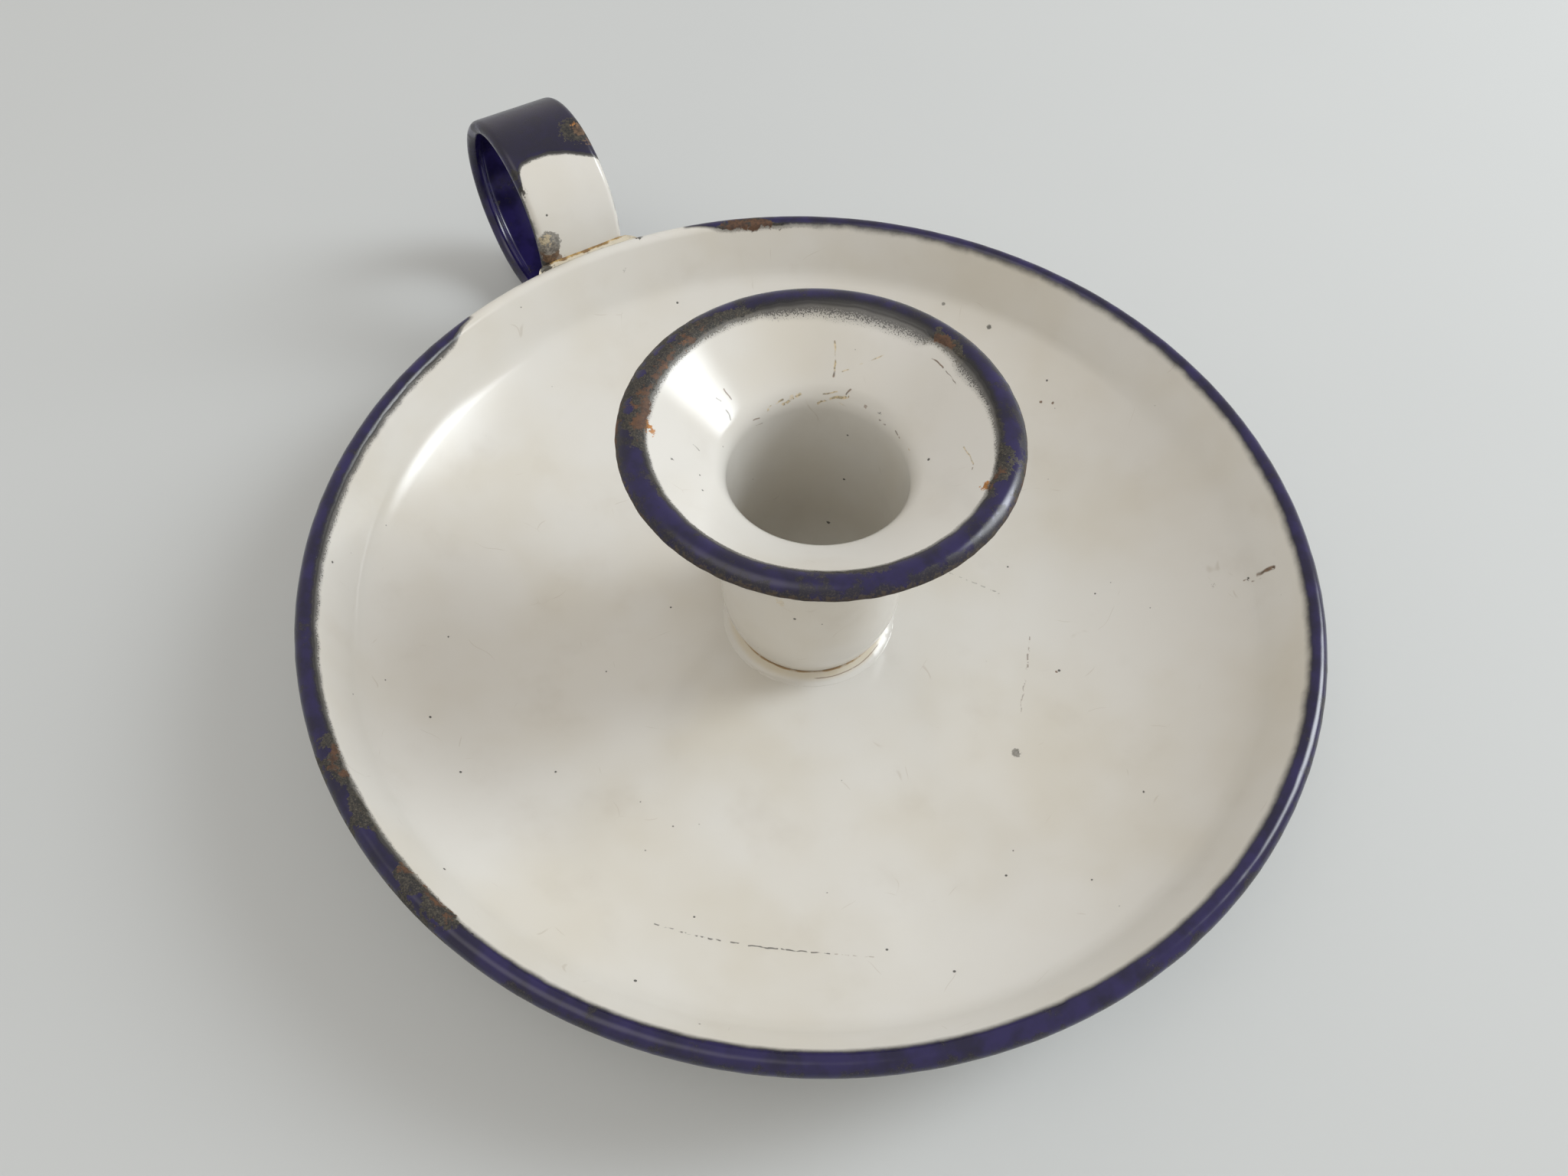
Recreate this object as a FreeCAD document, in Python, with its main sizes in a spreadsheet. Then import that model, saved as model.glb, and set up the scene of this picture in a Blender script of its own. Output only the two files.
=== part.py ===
import FreeCAD, Part
import enum
import math
import os
import Sketcher

"""Enamelled chamberstick: a pressed dish, a drawn candle socket and a finger loop.

Frame: +Z up, the origin is the middle of the resting face on the table, and the
finger loop stands out along +X. Lengths are millimetres and angles degrees.
"""

SIZES = {
    # Dish, pressed from one blank, with its rim curled outward
    "dish_diameter": 144.0,
    "dish_wall": 1.1,
    "floor_radius": 32.0,
    "crease_height": 11.4,
    "crease_round": 7.0,
    "flange_reach": 6.5,
    "rim_height": 19.0,
    "bead_radius": 1.5,
    "curl_lap_share": 0.6,
    # Candle socket, a drawn cup with a flared and turned lip
    "socket_wall": 1.3,
    "socket_floor_radius": 9.5,
    "socket_corner_radius": 0.8,
    "belly_height": 9.9,
    "bore_radius": 12.2,
    "throat_height": 32.9,
    "throat_radius": 4.6,
    "funnel_rise": 38.0,
    "lip_roll_radius": 2.5,
    "lip_diameter": 51.8,
    "lip_turn_share": 0.82,
    "lip_edge_round": 0.45,
    # Finger loop, a strap with both edges rolled inward
    "seat_gap": 0.2,
    "ring_radius": 15.8,
    "ring_rise": 1.2,
    "strap_width": 15.0,
    "strap_wall": 1.1,
    "strap_lap": 1.6,
    "edge_roll_radius": 1.2,
    "leg_rise": 16.0,
    "edge_roll_reach": 3.2,
    "tab_bend_radius": 4.0,
    "tab_slope": 30.0,
    "tab_gap": 0.1,
    "tab_reach": 15.2,
    # Brazed fillets
    "braze_fit": 0.02,
    "socket_braze_height": 1.1,
    "socket_braze_heel_reach": 1.1,
    "socket_braze_toe_reach": 3.9,
    "socket_braze_radius": 3.2,
    "loop_braze_flare": 1.3,
    "loop_braze_rise": 2.2,
    "loop_braze_drop": 1.3,
    "loop_braze_inset": 1.2,
    "loop_braze_radius": 2.4,
    "loop_braze_chamfer": 0.8,
    "loop_braze_foot_share": 0.85,
}

# Rough spans of the arcs, in degrees, before each sketch settles
SPANS = {
    "dish_wall": (270, 305),
    "dish_bend": (305, 330),
    "dish_bead": (-128, 150),
    "cup_corner": (270, 335),
    "cup_belly": (335, 360),
    "cup_throat": (128, 180),
    "cup_lip": (35, 128),
    "ring": (-106, 180),
    "tab_bend": (74, 120),
    "foot_corner": (-60, -28),
    "foot_face": (220, 263),
    "saddle_hollow": (290, 340),
}

SAME = 1.0e-4


class Fixed(enum.IntEnum):
    """A sketch's own origin and upright axis, by their numbers."""

    ORIGIN = -1
    UPRIGHT = -2


class Spot(enum.IntEnum):
    """The points on a line or an arc, by their numbers."""

    START = 1
    END = 2
    CENTRE = 3


class Sizes:
    """Reads the driving sizes back by name."""

    def __getattr__(self, name):
        return SIZES[name]


S = Sizes()


def cell(text):
    """Turn words such as {dish_wall} into references to the sheet."""
    return text.replace("{", "Sizes.").replace("}", "")


def make_sheet(doc):
    """Write every driving size into one sheet, each with its alias."""
    sheet = doc.addObject("Spreadsheet::Sheet", "Sizes")
    for row, (name, value) in enumerate(SIZES.items(), start=1):
        sheet.set(f"A{row}", name)
        sheet.set(f"B{row}", str(value))
        sheet.setAlias(f"B{row}", name)
    doc.recompute()


class Outline:
    """Draws lines and arcs in a sketch and ties their sizes to the sheet."""

    def __init__(self, sketch):
        self.sketch = sketch

    def line(self, start, end):
        """Add a line from one rough place to another."""
        ends = [FreeCAD.Vector(place[0], place[1], 0) for place in (start, end)]
        return self.sketch.addGeometry(Part.LineSegment(ends[0], ends[1]))

    def arc(self, centre, radius, span):
        """Add an arc that runs anticlockwise over a span of degrees."""
        circle = Part.Circle(FreeCAD.Vector(centre[0], centre[1], 0), FreeCAD.Vector(0, 0, 1), radius)
        first, last = (math.radians(angle) for angle in span)
        return self.sketch.addGeometry(Part.ArcOfCircle(circle, first, last))

    def circle(self, centre, radius):
        """Add a full circle."""
        middle = FreeCAD.Vector(centre[0], centre[1], 0)
        return self.sketch.addGeometry(Part.Circle(middle, FreeCAD.Vector(0, 0, 1), radius))

    def point(self, place):
        """Add a helping point."""
        return self.sketch.addGeometry(Part.Point(FreeCAD.Vector(place[0], place[1], 0)), True)

    def tie(self, kind, *where):
        """Add a relation without a size."""
        self.sketch.addConstraint(Sketcher.Constraint(kind, *where))

    def bind(self, kind, where, formula):
        """Add a size that follows the sheet."""
        value = self.sketch.evalExpression(cell(formula))
        if kind == "Angle":
            value = math.radians(value)
        index = self.sketch.addConstraint(Sketcher.Constraint(kind, *where, value))
        self.sketch.setExpression(f"Constraints[{index}]", cell(formula))

    def across(self, item, spot, formula):
        """Set how far a point lies from the upright axis."""
        self.bind("DistanceX", (Fixed.ORIGIN, Spot.START, item, spot), formula)

    def up(self, item, spot, formula):
        """Set how far a point lies above the sideways axis."""
        self.bind("DistanceY", (Fixed.ORIGIN, Spot.START, item, spot), formula)

    def radius(self, item, formula):
        """Set the radius of an arc or a circle."""
        self.bind("Radius", (item,), formula)

    def smooth(self, item, spot, other, other_spot):
        """Join two ends so that one runs on into the other."""
        self.tie("Tangent", item, spot, other, other_spot)

    def rectangle(self, low, high):
        """Add four lines round a rectangle and join them square."""
        corners = [low, (high[0], low[1]), high, (low[0], high[1])]
        sides = [self.line(corners[k], corners[(k + 1) % len(corners)]) for k in range(len(corners))]
        for k, side in enumerate(sides):
            self.tie("Coincident", side, Spot.END, sides[(k + 1) % len(sides)], Spot.START)
            self.tie("Horizontal" if k % 2 == 0 else "Vertical", side)
        return sides


def body_plane(body, role):
    """Find one of a body's own origin planes."""
    return next(item for item in body.Origin.OriginFeatures if item.Role == role)


def body_sketch(body, name, role):
    """Start a sketch on one of a body's origin planes."""
    sketch = body.newObject("Sketcher::SketchObject", name)
    sketch.AttachmentSupport = (body_plane(body, role), "")
    sketch.MapMode = "FlatFace"
    return sketch


def upright_sketch(doc, name):
    """Start a free sketch in the plane that stands on the X axis."""
    sketch = doc.addObject("Sketcher::SketchObject", name)
    tilt = FreeCAD.Rotation(FreeCAD.Vector(0, 0, 1), FreeCAD.Vector(0, -1, 0))
    sketch.Placement = FreeCAD.Placement(FreeCAD.Vector(0, 0, 0), tilt)
    return sketch


def spin_sheet(doc, sketch, name, wall_formula):
    """Give an outline its sheet thickness and turn it round the upright axis."""
    strip = doc.addObject("Part::Offset2D", name + "_strip")
    strip.Source = sketch
    strip.Mode = "Skin"
    strip.Join = "Arc"
    strip.Fill = True
    strip.setExpression("Value", cell(wall_formula))
    spun = doc.addObject("Part::Revolution", name)
    spun.Source = strip
    spun.Axis = (0, 0, 1)
    spun.Base = (0, 0, 0)
    spun.Angle = math.degrees(math.tau)
    spun.Solid = True
    doc.recompute()
    return spun


def crease_place():
    """How far the wall's outer end stands from the upright axis, as a formula."""
    return "({dish_diameter} / 2 - {bead_radius} - {flange_reach})"


def wall_sweep():
    """The radius of the wall's hollow sweep, as a formula."""
    run = f"({crease_place()} - {{floor_radius}})"
    rise = "({crease_height} - {dish_wall})"
    return f"(({run}^2 + {rise}^2) / (2 * {rise}))"


def make_dish(doc):
    """The dish: flat floor, hollow wall, crease, flange and curled rim.

    The outline is the upper face of the sheet, from the middle outward.
    """
    sketch = upright_sketch(doc, "dish_outline")
    draw = Outline(sketch)
    rim_centre = (S.dish_diameter / 2 - S.bead_radius, S.rim_height)
    crease = (rim_centre[0] - S.flange_reach, S.crease_height)
    sweep = sketch.evalExpression(cell(wall_sweep()))
    bend_centre = (crease[0] - S.crease_round, crease[1] + S.crease_round)
    floor = draw.line((0, S.dish_wall), (S.floor_radius, S.dish_wall))
    wall = draw.arc((S.floor_radius, S.dish_wall + sweep), sweep, SPANS["dish_wall"])
    bend = draw.arc(bend_centre, S.crease_round, SPANS["dish_bend"])
    flange = draw.line(crease, (rim_centre[0] - S.bead_radius, S.rim_height))
    bead = draw.arc(rim_centre, S.bead_radius, SPANS["dish_bead"])
    draw.tie("PointOnObject", floor, Spot.START, Fixed.UPRIGHT)
    draw.tie("Horizontal", floor)
    draw.smooth(floor, Spot.END, wall, Spot.START)
    draw.smooth(wall, Spot.END, bend, Spot.START)
    draw.smooth(bend, Spot.END, flange, Spot.START)
    draw.smooth(flange, Spot.END, bead, Spot.END)
    draw.up(floor, Spot.START, "{dish_wall}")
    draw.across(floor, Spot.END, "{floor_radius}")
    draw.across(wall, Spot.END, crease_place())
    draw.up(wall, Spot.END, "{crease_height}")
    draw.radius(bend, "{crease_round}")
    draw.radius(bead, "{bead_radius}")
    draw.across(bead, Spot.CENTRE, "{dish_diameter} / 2 - {bead_radius}")
    draw.up(bead, Spot.CENTRE, "{rim_height}")
    draw.bind("DistanceX", (bead, Spot.START, bead, Spot.CENTRE), "{bead_radius} * {curl_lap_share}")
    dish = spin_sheet(doc, sketch, "dish_sheet", "-{dish_wall}")
    dish.Label = "dish"
    return dish


def make_candle_socket(doc):
    """The candle socket: flat bottom, rounded belly, bore, throat, funnel and lip.

    The outline is the inner face of the sheet, from the middle of the bottom up.
    """
    sketch = upright_sketch(doc, "socket_outline")
    draw = Outline(sketch)
    inside = S.dish_wall + S.socket_wall
    belly_top = S.dish_wall + S.belly_height
    throat = S.dish_wall + S.throat_height
    floor_radius = S.socket_floor_radius
    lip_start = S.lip_diameter / 2 - S.lip_roll_radius
    funnel_start = (S.bore_radius + S.throat_radius / 2, throat + S.throat_radius / 2)
    lip_centre = (lip_start, throat + S.lip_diameter / 2 - S.bore_radius - S.throat_radius)
    bottom = draw.line((0, inside), (floor_radius, inside))
    corner_centre = (floor_radius, inside + S.socket_corner_radius)
    corner = draw.arc(corner_centre, S.socket_corner_radius, SPANS["cup_corner"])
    belly = draw.arc((0, belly_top), S.bore_radius, SPANS["cup_belly"])
    bore = draw.line((S.bore_radius, belly_top), (S.bore_radius, throat))
    throat_centre = (S.bore_radius + S.throat_radius, throat)
    flare = draw.arc(throat_centre, S.throat_radius, SPANS["cup_throat"])
    funnel = draw.line(funnel_start, (lip_start, lip_centre[1] + S.lip_roll_radius / 2))
    lip = draw.arc(lip_centre, S.lip_roll_radius, SPANS["cup_lip"])
    draw.tie("PointOnObject", bottom, Spot.START, Fixed.UPRIGHT)
    draw.tie("Horizontal", bottom)
    draw.tie("Vertical", bore)
    draw.smooth(bottom, Spot.END, corner, Spot.START)
    draw.smooth(corner, Spot.END, belly, Spot.START)
    draw.smooth(belly, Spot.END, bore, Spot.START)
    draw.smooth(bore, Spot.END, flare, Spot.END)
    draw.smooth(flare, Spot.START, funnel, Spot.START)
    draw.smooth(funnel, Spot.END, lip, Spot.END)
    draw.up(bottom, Spot.START, "{dish_wall} + {socket_wall}")
    draw.across(bottom, Spot.END, "{socket_floor_radius}")
    draw.radius(corner, "{socket_corner_radius}")
    draw.across(bore, Spot.START, "{bore_radius}")
    draw.up(bore, Spot.START, "{dish_wall} + {belly_height}")
    draw.up(bore, Spot.END, "{dish_wall} + {throat_height}")
    draw.radius(flare, "{throat_radius}")
    draw.bind("Angle", (funnel,), "{funnel_rise}")
    draw.radius(lip, "{lip_roll_radius}")
    draw.across(lip, Spot.START, "{lip_diameter} / 2")
    turned = (lip, Spot.CENTRE, lip, Spot.START)
    draw.bind("DistanceX", turned, "{lip_roll_radius} * {lip_turn_share}")
    cup = spin_sheet(doc, sketch, "socket_sheet", "-{socket_wall}")
    return round_lip(doc, cup)


def round_lip(doc, cup):
    """Round both corners of the sheet's edge at the lip."""
    upper = S.lip_diameter / 2
    lower = upper - S.socket_wall * S.lip_turn_share
    picked = []
    for number, edge in enumerate(cup.Shape.Edges, start=1):
        if not isinstance(edge.Curve, Part.Circle) or not edge.isClosed():
            continue
        if min(abs(edge.Curve.Radius - upper), abs(edge.Curve.Radius - lower)) < SAME:
            picked.append((number, S.lip_edge_round, S.lip_edge_round))
    rounded = doc.addObject("Part::Fillet", "candle_socket_solid")
    rounded.Base = cup
    rounded.Edges = picked
    rounded.Label = "candle_socket"
    return rounded


def ring_height():
    """The height of the middle of the loop's ring, as a formula."""
    return "{rim_height} + {ring_rise}"


def strap_face():
    """How far the strap's dish side stands from the upright axis, as a formula."""
    return "{dish_diameter} / 2 + {seat_gap}"


def draw_ring_and_leg(draw):
    """Draw the round part of the loop's line and its straight lower leg."""
    face = S.dish_diameter / 2 + S.seat_gap
    middle = (face + S.ring_radius, S.rim_height + S.ring_rise)
    leave = math.radians(S.leg_rise)
    foot = (middle[0] - S.ring_radius * math.sin(leave), middle[1] - S.ring_radius * math.cos(leave))
    leg_end = (face - S.edge_roll_reach, foot[1] + (foot[0] - face) * math.tan(leave))
    ring = draw.arc(middle, S.ring_radius, SPANS["ring"])
    leg = draw.line(leg_end, foot)
    draw.smooth(ring, Spot.START, leg, Spot.END)
    draw.radius(ring, "{ring_radius}")
    draw.bind("Angle", (leg,), "-{leg_rise}")
    return ring, leg, leg_end


def draw_strap_line(sketch):
    """The line of the strap's outer face, from the rim round to the welded tab."""
    draw = Outline(sketch)
    face = S.dish_diameter / 2 + S.seat_gap
    ring, leg, leg_end = draw_ring_and_leg(draw)
    rise = draw.line((face, S.rim_height - S.strap_lap), (face, S.rim_height + S.ring_rise))
    bend_centre = (leg_end[0] - S.tab_bend_radius, leg_end[1] - S.tab_bend_radius)
    bend = draw.arc(bend_centre, S.tab_bend_radius, SPANS["tab_bend"])
    tab_start = (bend_centre[0], leg_end[1])
    tab_end = face - S.tab_reach
    drop = (tab_start[0] - tab_end) * math.tan(math.radians(S.tab_slope))
    tab = draw.line((tab_end, tab_start[1] - drop), tab_start)
    sweep = sketch.evalExpression(cell(wall_sweep()))
    sweep_centre = draw.point((S.floor_radius, S.dish_wall + sweep))
    draw.tie("Vertical", rise)
    draw.smooth(rise, Spot.END, ring, Spot.END)
    draw.smooth(leg, Spot.START, bend, Spot.START)
    draw.smooth(bend, Spot.END, tab, Spot.END)
    draw.across(rise, Spot.START, strap_face())
    draw.up(rise, Spot.START, "{rim_height} - {strap_lap}")
    draw.up(rise, Spot.END, ring_height())
    draw.radius(bend, "{tab_bend_radius}")
    draw.bind("Angle", (tab,), "{tab_slope}")
    draw.across(sweep_centre, Spot.START, "{floor_radius}")
    draw.up(sweep_centre, Spot.START, "{dish_wall} + " + wall_sweep())
    off = wall_sweep() + " + {dish_wall} + {tab_gap} + {strap_wall}"
    draw.bind("Distance", (sweep_centre, Spot.START, tab), off)
    draw.across(tab, Spot.START, strap_face() + " - {tab_reach}")


def draw_roll_line(sketch):
    """The line of the rolled edges, which stop before the tab."""
    draw = Outline(sketch)
    ring, leg, leg_end = draw_ring_and_leg(draw)
    draw.across(ring, Spot.CENTRE, strap_face() + " + {ring_radius}")
    draw.up(ring, Spot.CENTRE, ring_height())
    draw.tie("Horizontal", ring, Spot.END, ring, Spot.CENTRE)
    draw.across(leg, Spot.START, strap_face() + " - {edge_roll_reach}")


def draw_strap_section(sketch):
    """The flat middle of the strap, cut across."""
    draw = Outline(sketch)
    face = S.dish_diameter / 2 + S.seat_gap
    half = S.strap_width / 2 - S.edge_roll_radius
    low_side, far_side, high_side, near_side = draw.rectangle((face, -half), (face + S.strap_wall, half))
    draw.across(low_side, Spot.START, strap_face())
    draw.across(low_side, Spot.END, strap_face() + " + {strap_wall}")
    draw.up(low_side, Spot.START, "{edge_roll_radius} - {strap_width} / 2")
    draw.up(high_side, Spot.START, "{strap_width} / 2 - {edge_roll_radius}")


def draw_roll_section(sketch, side):
    """One rolled edge, cut across, on the side that the sign gives."""
    draw = Outline(sketch)
    face = S.dish_diameter / 2 + S.seat_gap
    half = S.strap_width / 2 - S.edge_roll_radius
    roll = draw.circle((face + S.edge_roll_radius, side * half), S.edge_roll_radius)
    draw.radius(roll, "{edge_roll_radius}")
    draw.across(roll, Spot.CENTRE, strap_face() + " + {edge_roll_radius}")
    draw.up(roll, Spot.CENTRE, f"{side} * ({{strap_width}} / 2 - {{edge_roll_radius}})")


def add_pipe(body, name, section, line):
    """Sweep a section along every edge of a line."""
    pipe = body.newObject("PartDesign::AdditivePipe", name)
    pipe.Profile = (section, [""])
    pipe.Spine = (line, [f"Edge{k}" for k in range(1, len(line.Shape.Edges) + 1)])
    return pipe


def add_roll_end(body, name, across, side, height):
    """Close the end of a rolled edge with a ball."""
    ball = body.newObject("PartDesign::AdditiveSphere", name)
    ball.setExpression("Radius", cell("{edge_roll_radius}"))
    ball.setExpression("Placement.Base.x", cell(across))
    ball.setExpression("Placement.Base.y", cell(f"{side} * ({{strap_width}} / 2 - {{edge_roll_radius}})"))
    ball.setExpression("Placement.Base.z", cell(height))


def make_finger_loop(doc):
    """The finger loop: one strap, its edges rolled inward, its tab under the wall."""
    body = doc.addObject("PartDesign::Body", "finger_loop")
    body.Label = "finger_loop"
    strap_line = body_sketch(body, "strap_line", "XZ_Plane")
    draw_strap_line(strap_line)
    roll_line = body_sketch(body, "roll_line", "XZ_Plane")
    draw_roll_line(roll_line)
    strap_section = body_sketch(body, "strap_section", "XY_Plane")
    strap_section.setExpression("AttachmentOffset.Base.z", cell("{rim_height} - {strap_lap}"))
    draw_strap_section(strap_section)
    doc.recompute()
    add_pipe(body, "strap", strap_section, strap_line)
    for name, side in (("left", 1), ("right", -1)):
        section = body_sketch(body, name + "_roll_section", "XY_Plane")
        section.setExpression("AttachmentOffset.Base.z", cell(ring_height()))
        draw_roll_section(section, side)
        doc.recompute()
        add_pipe(body, name + "_roll", section, roll_line)
        upper = strap_face() + " + {edge_roll_radius}"
        add_roll_end(body, name + "_upper_end", upper, side, ring_height())
        middle = "(" + strap_face() + " + {ring_radius})"
        inner = "({ring_radius} - {edge_roll_radius})"
        run = "({ring_radius} * (1 - sin({leg_rise})) + {edge_roll_reach})"
        across = f"{middle} - {inner} * sin({{leg_rise}}) - {run}"
        height = f"{ring_height()} - {inner} * cos({{leg_rise}}) + {run} * tan({{leg_rise}})"
        add_roll_end(body, name + "_lower_end", across, side, height)
    return body


def make_socket_braze(doc):
    """The brazed ring that fills the corner between the socket's foot and the floor."""
    body = doc.addObject("PartDesign::Body", "socket_braze")
    body.Label = "socket_braze"
    sketch = body_sketch(body, "braze_outline", "XZ_Plane")
    draw = Outline(sketch)
    cup_corner = S.socket_corner_radius + S.socket_wall + S.braze_fit
    corner_centre = (S.socket_floor_radius, S.dish_wall + S.socket_wall + S.socket_corner_radius)
    heel = (S.socket_floor_radius + S.socket_braze_heel_reach, S.dish_wall)
    toe = (S.socket_floor_radius + S.socket_braze_toe_reach, S.dish_wall)
    base = draw.line(heel, toe)
    back = draw.line(heel, (heel[0], S.dish_wall + S.socket_braze_height / 2))
    inner = draw.arc(corner_centre, cup_corner, SPANS["foot_corner"])
    face_centre = (toe[0], S.dish_wall + S.socket_braze_radius)
    face = draw.arc(face_centre, S.socket_braze_radius, SPANS["foot_face"])
    draw.tie("Horizontal", base)
    draw.tie("Vertical", back)
    draw.tie("Coincident", base, Spot.START, back, Spot.START)
    draw.tie("Coincident", back, Spot.END, inner, Spot.START)
    draw.tie("Coincident", inner, Spot.END, face, Spot.START)
    draw.tie("Coincident", base, Spot.END, face, Spot.END)
    draw.across(inner, Spot.CENTRE, "{socket_floor_radius}")
    draw.up(inner, Spot.CENTRE, "{dish_wall} + {socket_wall} + {socket_corner_radius}")
    draw.radius(inner, "{socket_corner_radius} + {socket_wall} + {braze_fit}")
    draw.up(base, Spot.START, "{dish_wall}")
    draw.across(base, Spot.START, "{socket_floor_radius} + {socket_braze_heel_reach}")
    draw.across(base, Spot.END, "{socket_floor_radius} + {socket_braze_toe_reach}")
    draw.up(inner, Spot.END, "{dish_wall} + {socket_braze_height}")
    draw.radius(face, "{socket_braze_radius}")
    ring = body.newObject("PartDesign::Revolution", "braze_ring")
    ring.Profile = sketch
    ring.ReferenceAxis = (sketch, ["V_Axis"])
    ring.Angle = math.degrees(math.tau)
    doc.recompute()
    return body


def make_loop_braze(doc):
    """The brazed saddle between the rim's bead and the dish side of the strap."""
    body = doc.addObject("PartDesign::Body", "loop_braze")
    body.Label = "loop_braze"
    sketch = body_sketch(body, "saddle_section", "XZ_Plane")
    draw = Outline(sketch)
    face = S.dish_diameter / 2 + S.seat_gap
    inset = face - S.loop_braze_inset
    top = S.rim_height + S.loop_braze_rise
    low = S.rim_height - S.loop_braze_drop
    shoulder = S.rim_height + S.bead_radius * S.loop_braze_foot_share
    back = draw.line((face, low), (face, top))
    hollow_centre = (inset - S.bead_radius, top + S.bead_radius)
    hollow = draw.arc(hollow_centre, S.loop_braze_radius, SPANS["saddle_hollow"])
    front = draw.line((inset, shoulder), (inset, low))
    under = draw.line((inset, low), (face, low))
    draw.tie("Vertical", back)
    draw.tie("Vertical", front)
    draw.tie("Horizontal", under)
    draw.tie("Coincident", back, Spot.END, hollow, Spot.END)
    draw.tie("Coincident", hollow, Spot.START, front, Spot.START)
    draw.tie("Coincident", front, Spot.END, under, Spot.START)
    draw.tie("Coincident", under, Spot.END, back, Spot.START)
    draw.across(back, Spot.START, strap_face())
    draw.up(back, Spot.START, "{rim_height} - {loop_braze_drop}")
    draw.up(back, Spot.END, "{rim_height} + {loop_braze_rise}")
    draw.across(front, Spot.START, strap_face() + " - {loop_braze_inset}")
    draw.up(front, Spot.START, "{rim_height} + {bead_radius} * {loop_braze_foot_share}")
    draw.radius(hollow, "{loop_braze_radius}")
    saddle = body.newObject("PartDesign::Pad", "saddle")
    saddle.Profile = sketch
    saddle.Midplane = True
    saddle.setExpression("Length", cell("{strap_width} + 2 * {loop_braze_flare}"))
    doc.recompute()
    taper_saddle(body, saddle)
    bead = body.newObject("PartDesign::SubtractiveTorus", "bead_seat")
    bead.setExpression("Radius1", cell("{dish_diameter} / 2 - {bead_radius}"))
    bead.setExpression("Radius2", cell("{bead_radius} + {braze_fit}"))
    bead.setExpression("Placement.Base.z", cell("{rim_height}"))
    doc.recompute()
    return body


def taper_saddle(body, saddle):
    """Thin the two ends of the saddle down towards the bead."""
    face = S.dish_diameter / 2 + S.seat_gap
    ends = []
    for number, edge in enumerate(saddle.Shape.Edges, start=1):
        box = edge.BoundBox
        on_face = abs(box.XMin - face) < SAME and box.XLength < SAME
        if on_face and box.YLength < SAME and box.ZLength > SAME:
            ends.append(f"Edge{number}")
    chamfer = body.newObject("PartDesign::Chamfer", "saddle_ends")
    chamfer.Base = (saddle, ends)
    chamfer.setExpression("Size", cell("{loop_braze_chamfer}"))
    body.Document.recompute()


def check_document(doc, pieces):
    """Stop if any object failed, or if a piece has no sound solid."""
    for item in doc.Objects:
        if "Invalid" in item.State or "Error" in item.State:
            raise RuntimeError(f"{item.Name} failed: {item.State}")
    for piece in pieces:
        shape = piece.Shape
        if shape.isNull() or not shape.isValid() or len(shape.Solids) != 1:
            raise RuntimeError(f"{piece.Label} is not one sound solid")


def main():
    """Build every piece and write each to its own file."""
    doc = FreeCAD.newDocument("chamberstick")
    make_sheet(doc)
    pieces = [
        make_dish(doc),
        make_candle_socket(doc),
        make_finger_loop(doc),
        make_socket_braze(doc),
        make_loop_braze(doc),
    ]
    doc.recompute()
    check_document(doc, pieces)
    os.makedirs("parts", exist_ok=True)
    for piece in pieces:
        piece.Shape.exportStep(f"parts/{piece.Label}.step")
        box = piece.Shape.optimalBoundingBox()
        spans = [(box.XMin, box.XMax), (box.YMin, box.YMax), (box.ZMin, box.ZMax)]
        reach = " ".join(f"{low:.2f}..{high:.2f}" for low, high in spans)
        print(f"{piece.Label}: volume {piece.Shape.Volume:.1f}, box {reach}")


main()
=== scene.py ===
import logging
import math
from dataclasses import dataclass
from enum import Enum
from typing import Any, Optional, Sequence

import bmesh
import bpy
from mathutils import Matrix, Vector


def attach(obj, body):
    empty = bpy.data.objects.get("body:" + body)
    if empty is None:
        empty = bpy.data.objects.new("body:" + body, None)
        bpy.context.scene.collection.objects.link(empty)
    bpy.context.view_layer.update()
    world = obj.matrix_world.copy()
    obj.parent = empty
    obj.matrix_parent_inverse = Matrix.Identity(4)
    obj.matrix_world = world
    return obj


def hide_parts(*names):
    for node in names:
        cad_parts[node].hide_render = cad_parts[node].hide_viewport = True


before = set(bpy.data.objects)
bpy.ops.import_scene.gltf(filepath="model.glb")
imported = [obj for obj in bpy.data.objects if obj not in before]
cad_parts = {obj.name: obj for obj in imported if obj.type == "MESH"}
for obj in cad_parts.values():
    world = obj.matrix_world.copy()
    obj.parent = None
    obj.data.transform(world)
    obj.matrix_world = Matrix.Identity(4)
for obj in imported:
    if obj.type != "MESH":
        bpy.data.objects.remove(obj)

# Looks of an enamelled chamberstick: its dish, candle socket, finger loop and seams.
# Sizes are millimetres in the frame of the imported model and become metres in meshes.

LOG = logging.getLogger("chamberstick")
MM = 0.001
BODY = "root"
Pair = tuple[float, float]
Triple = tuple[float, float, float]
ZERO: Triple = (0.0, 0.0, 0.0)


# Node trees


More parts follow.
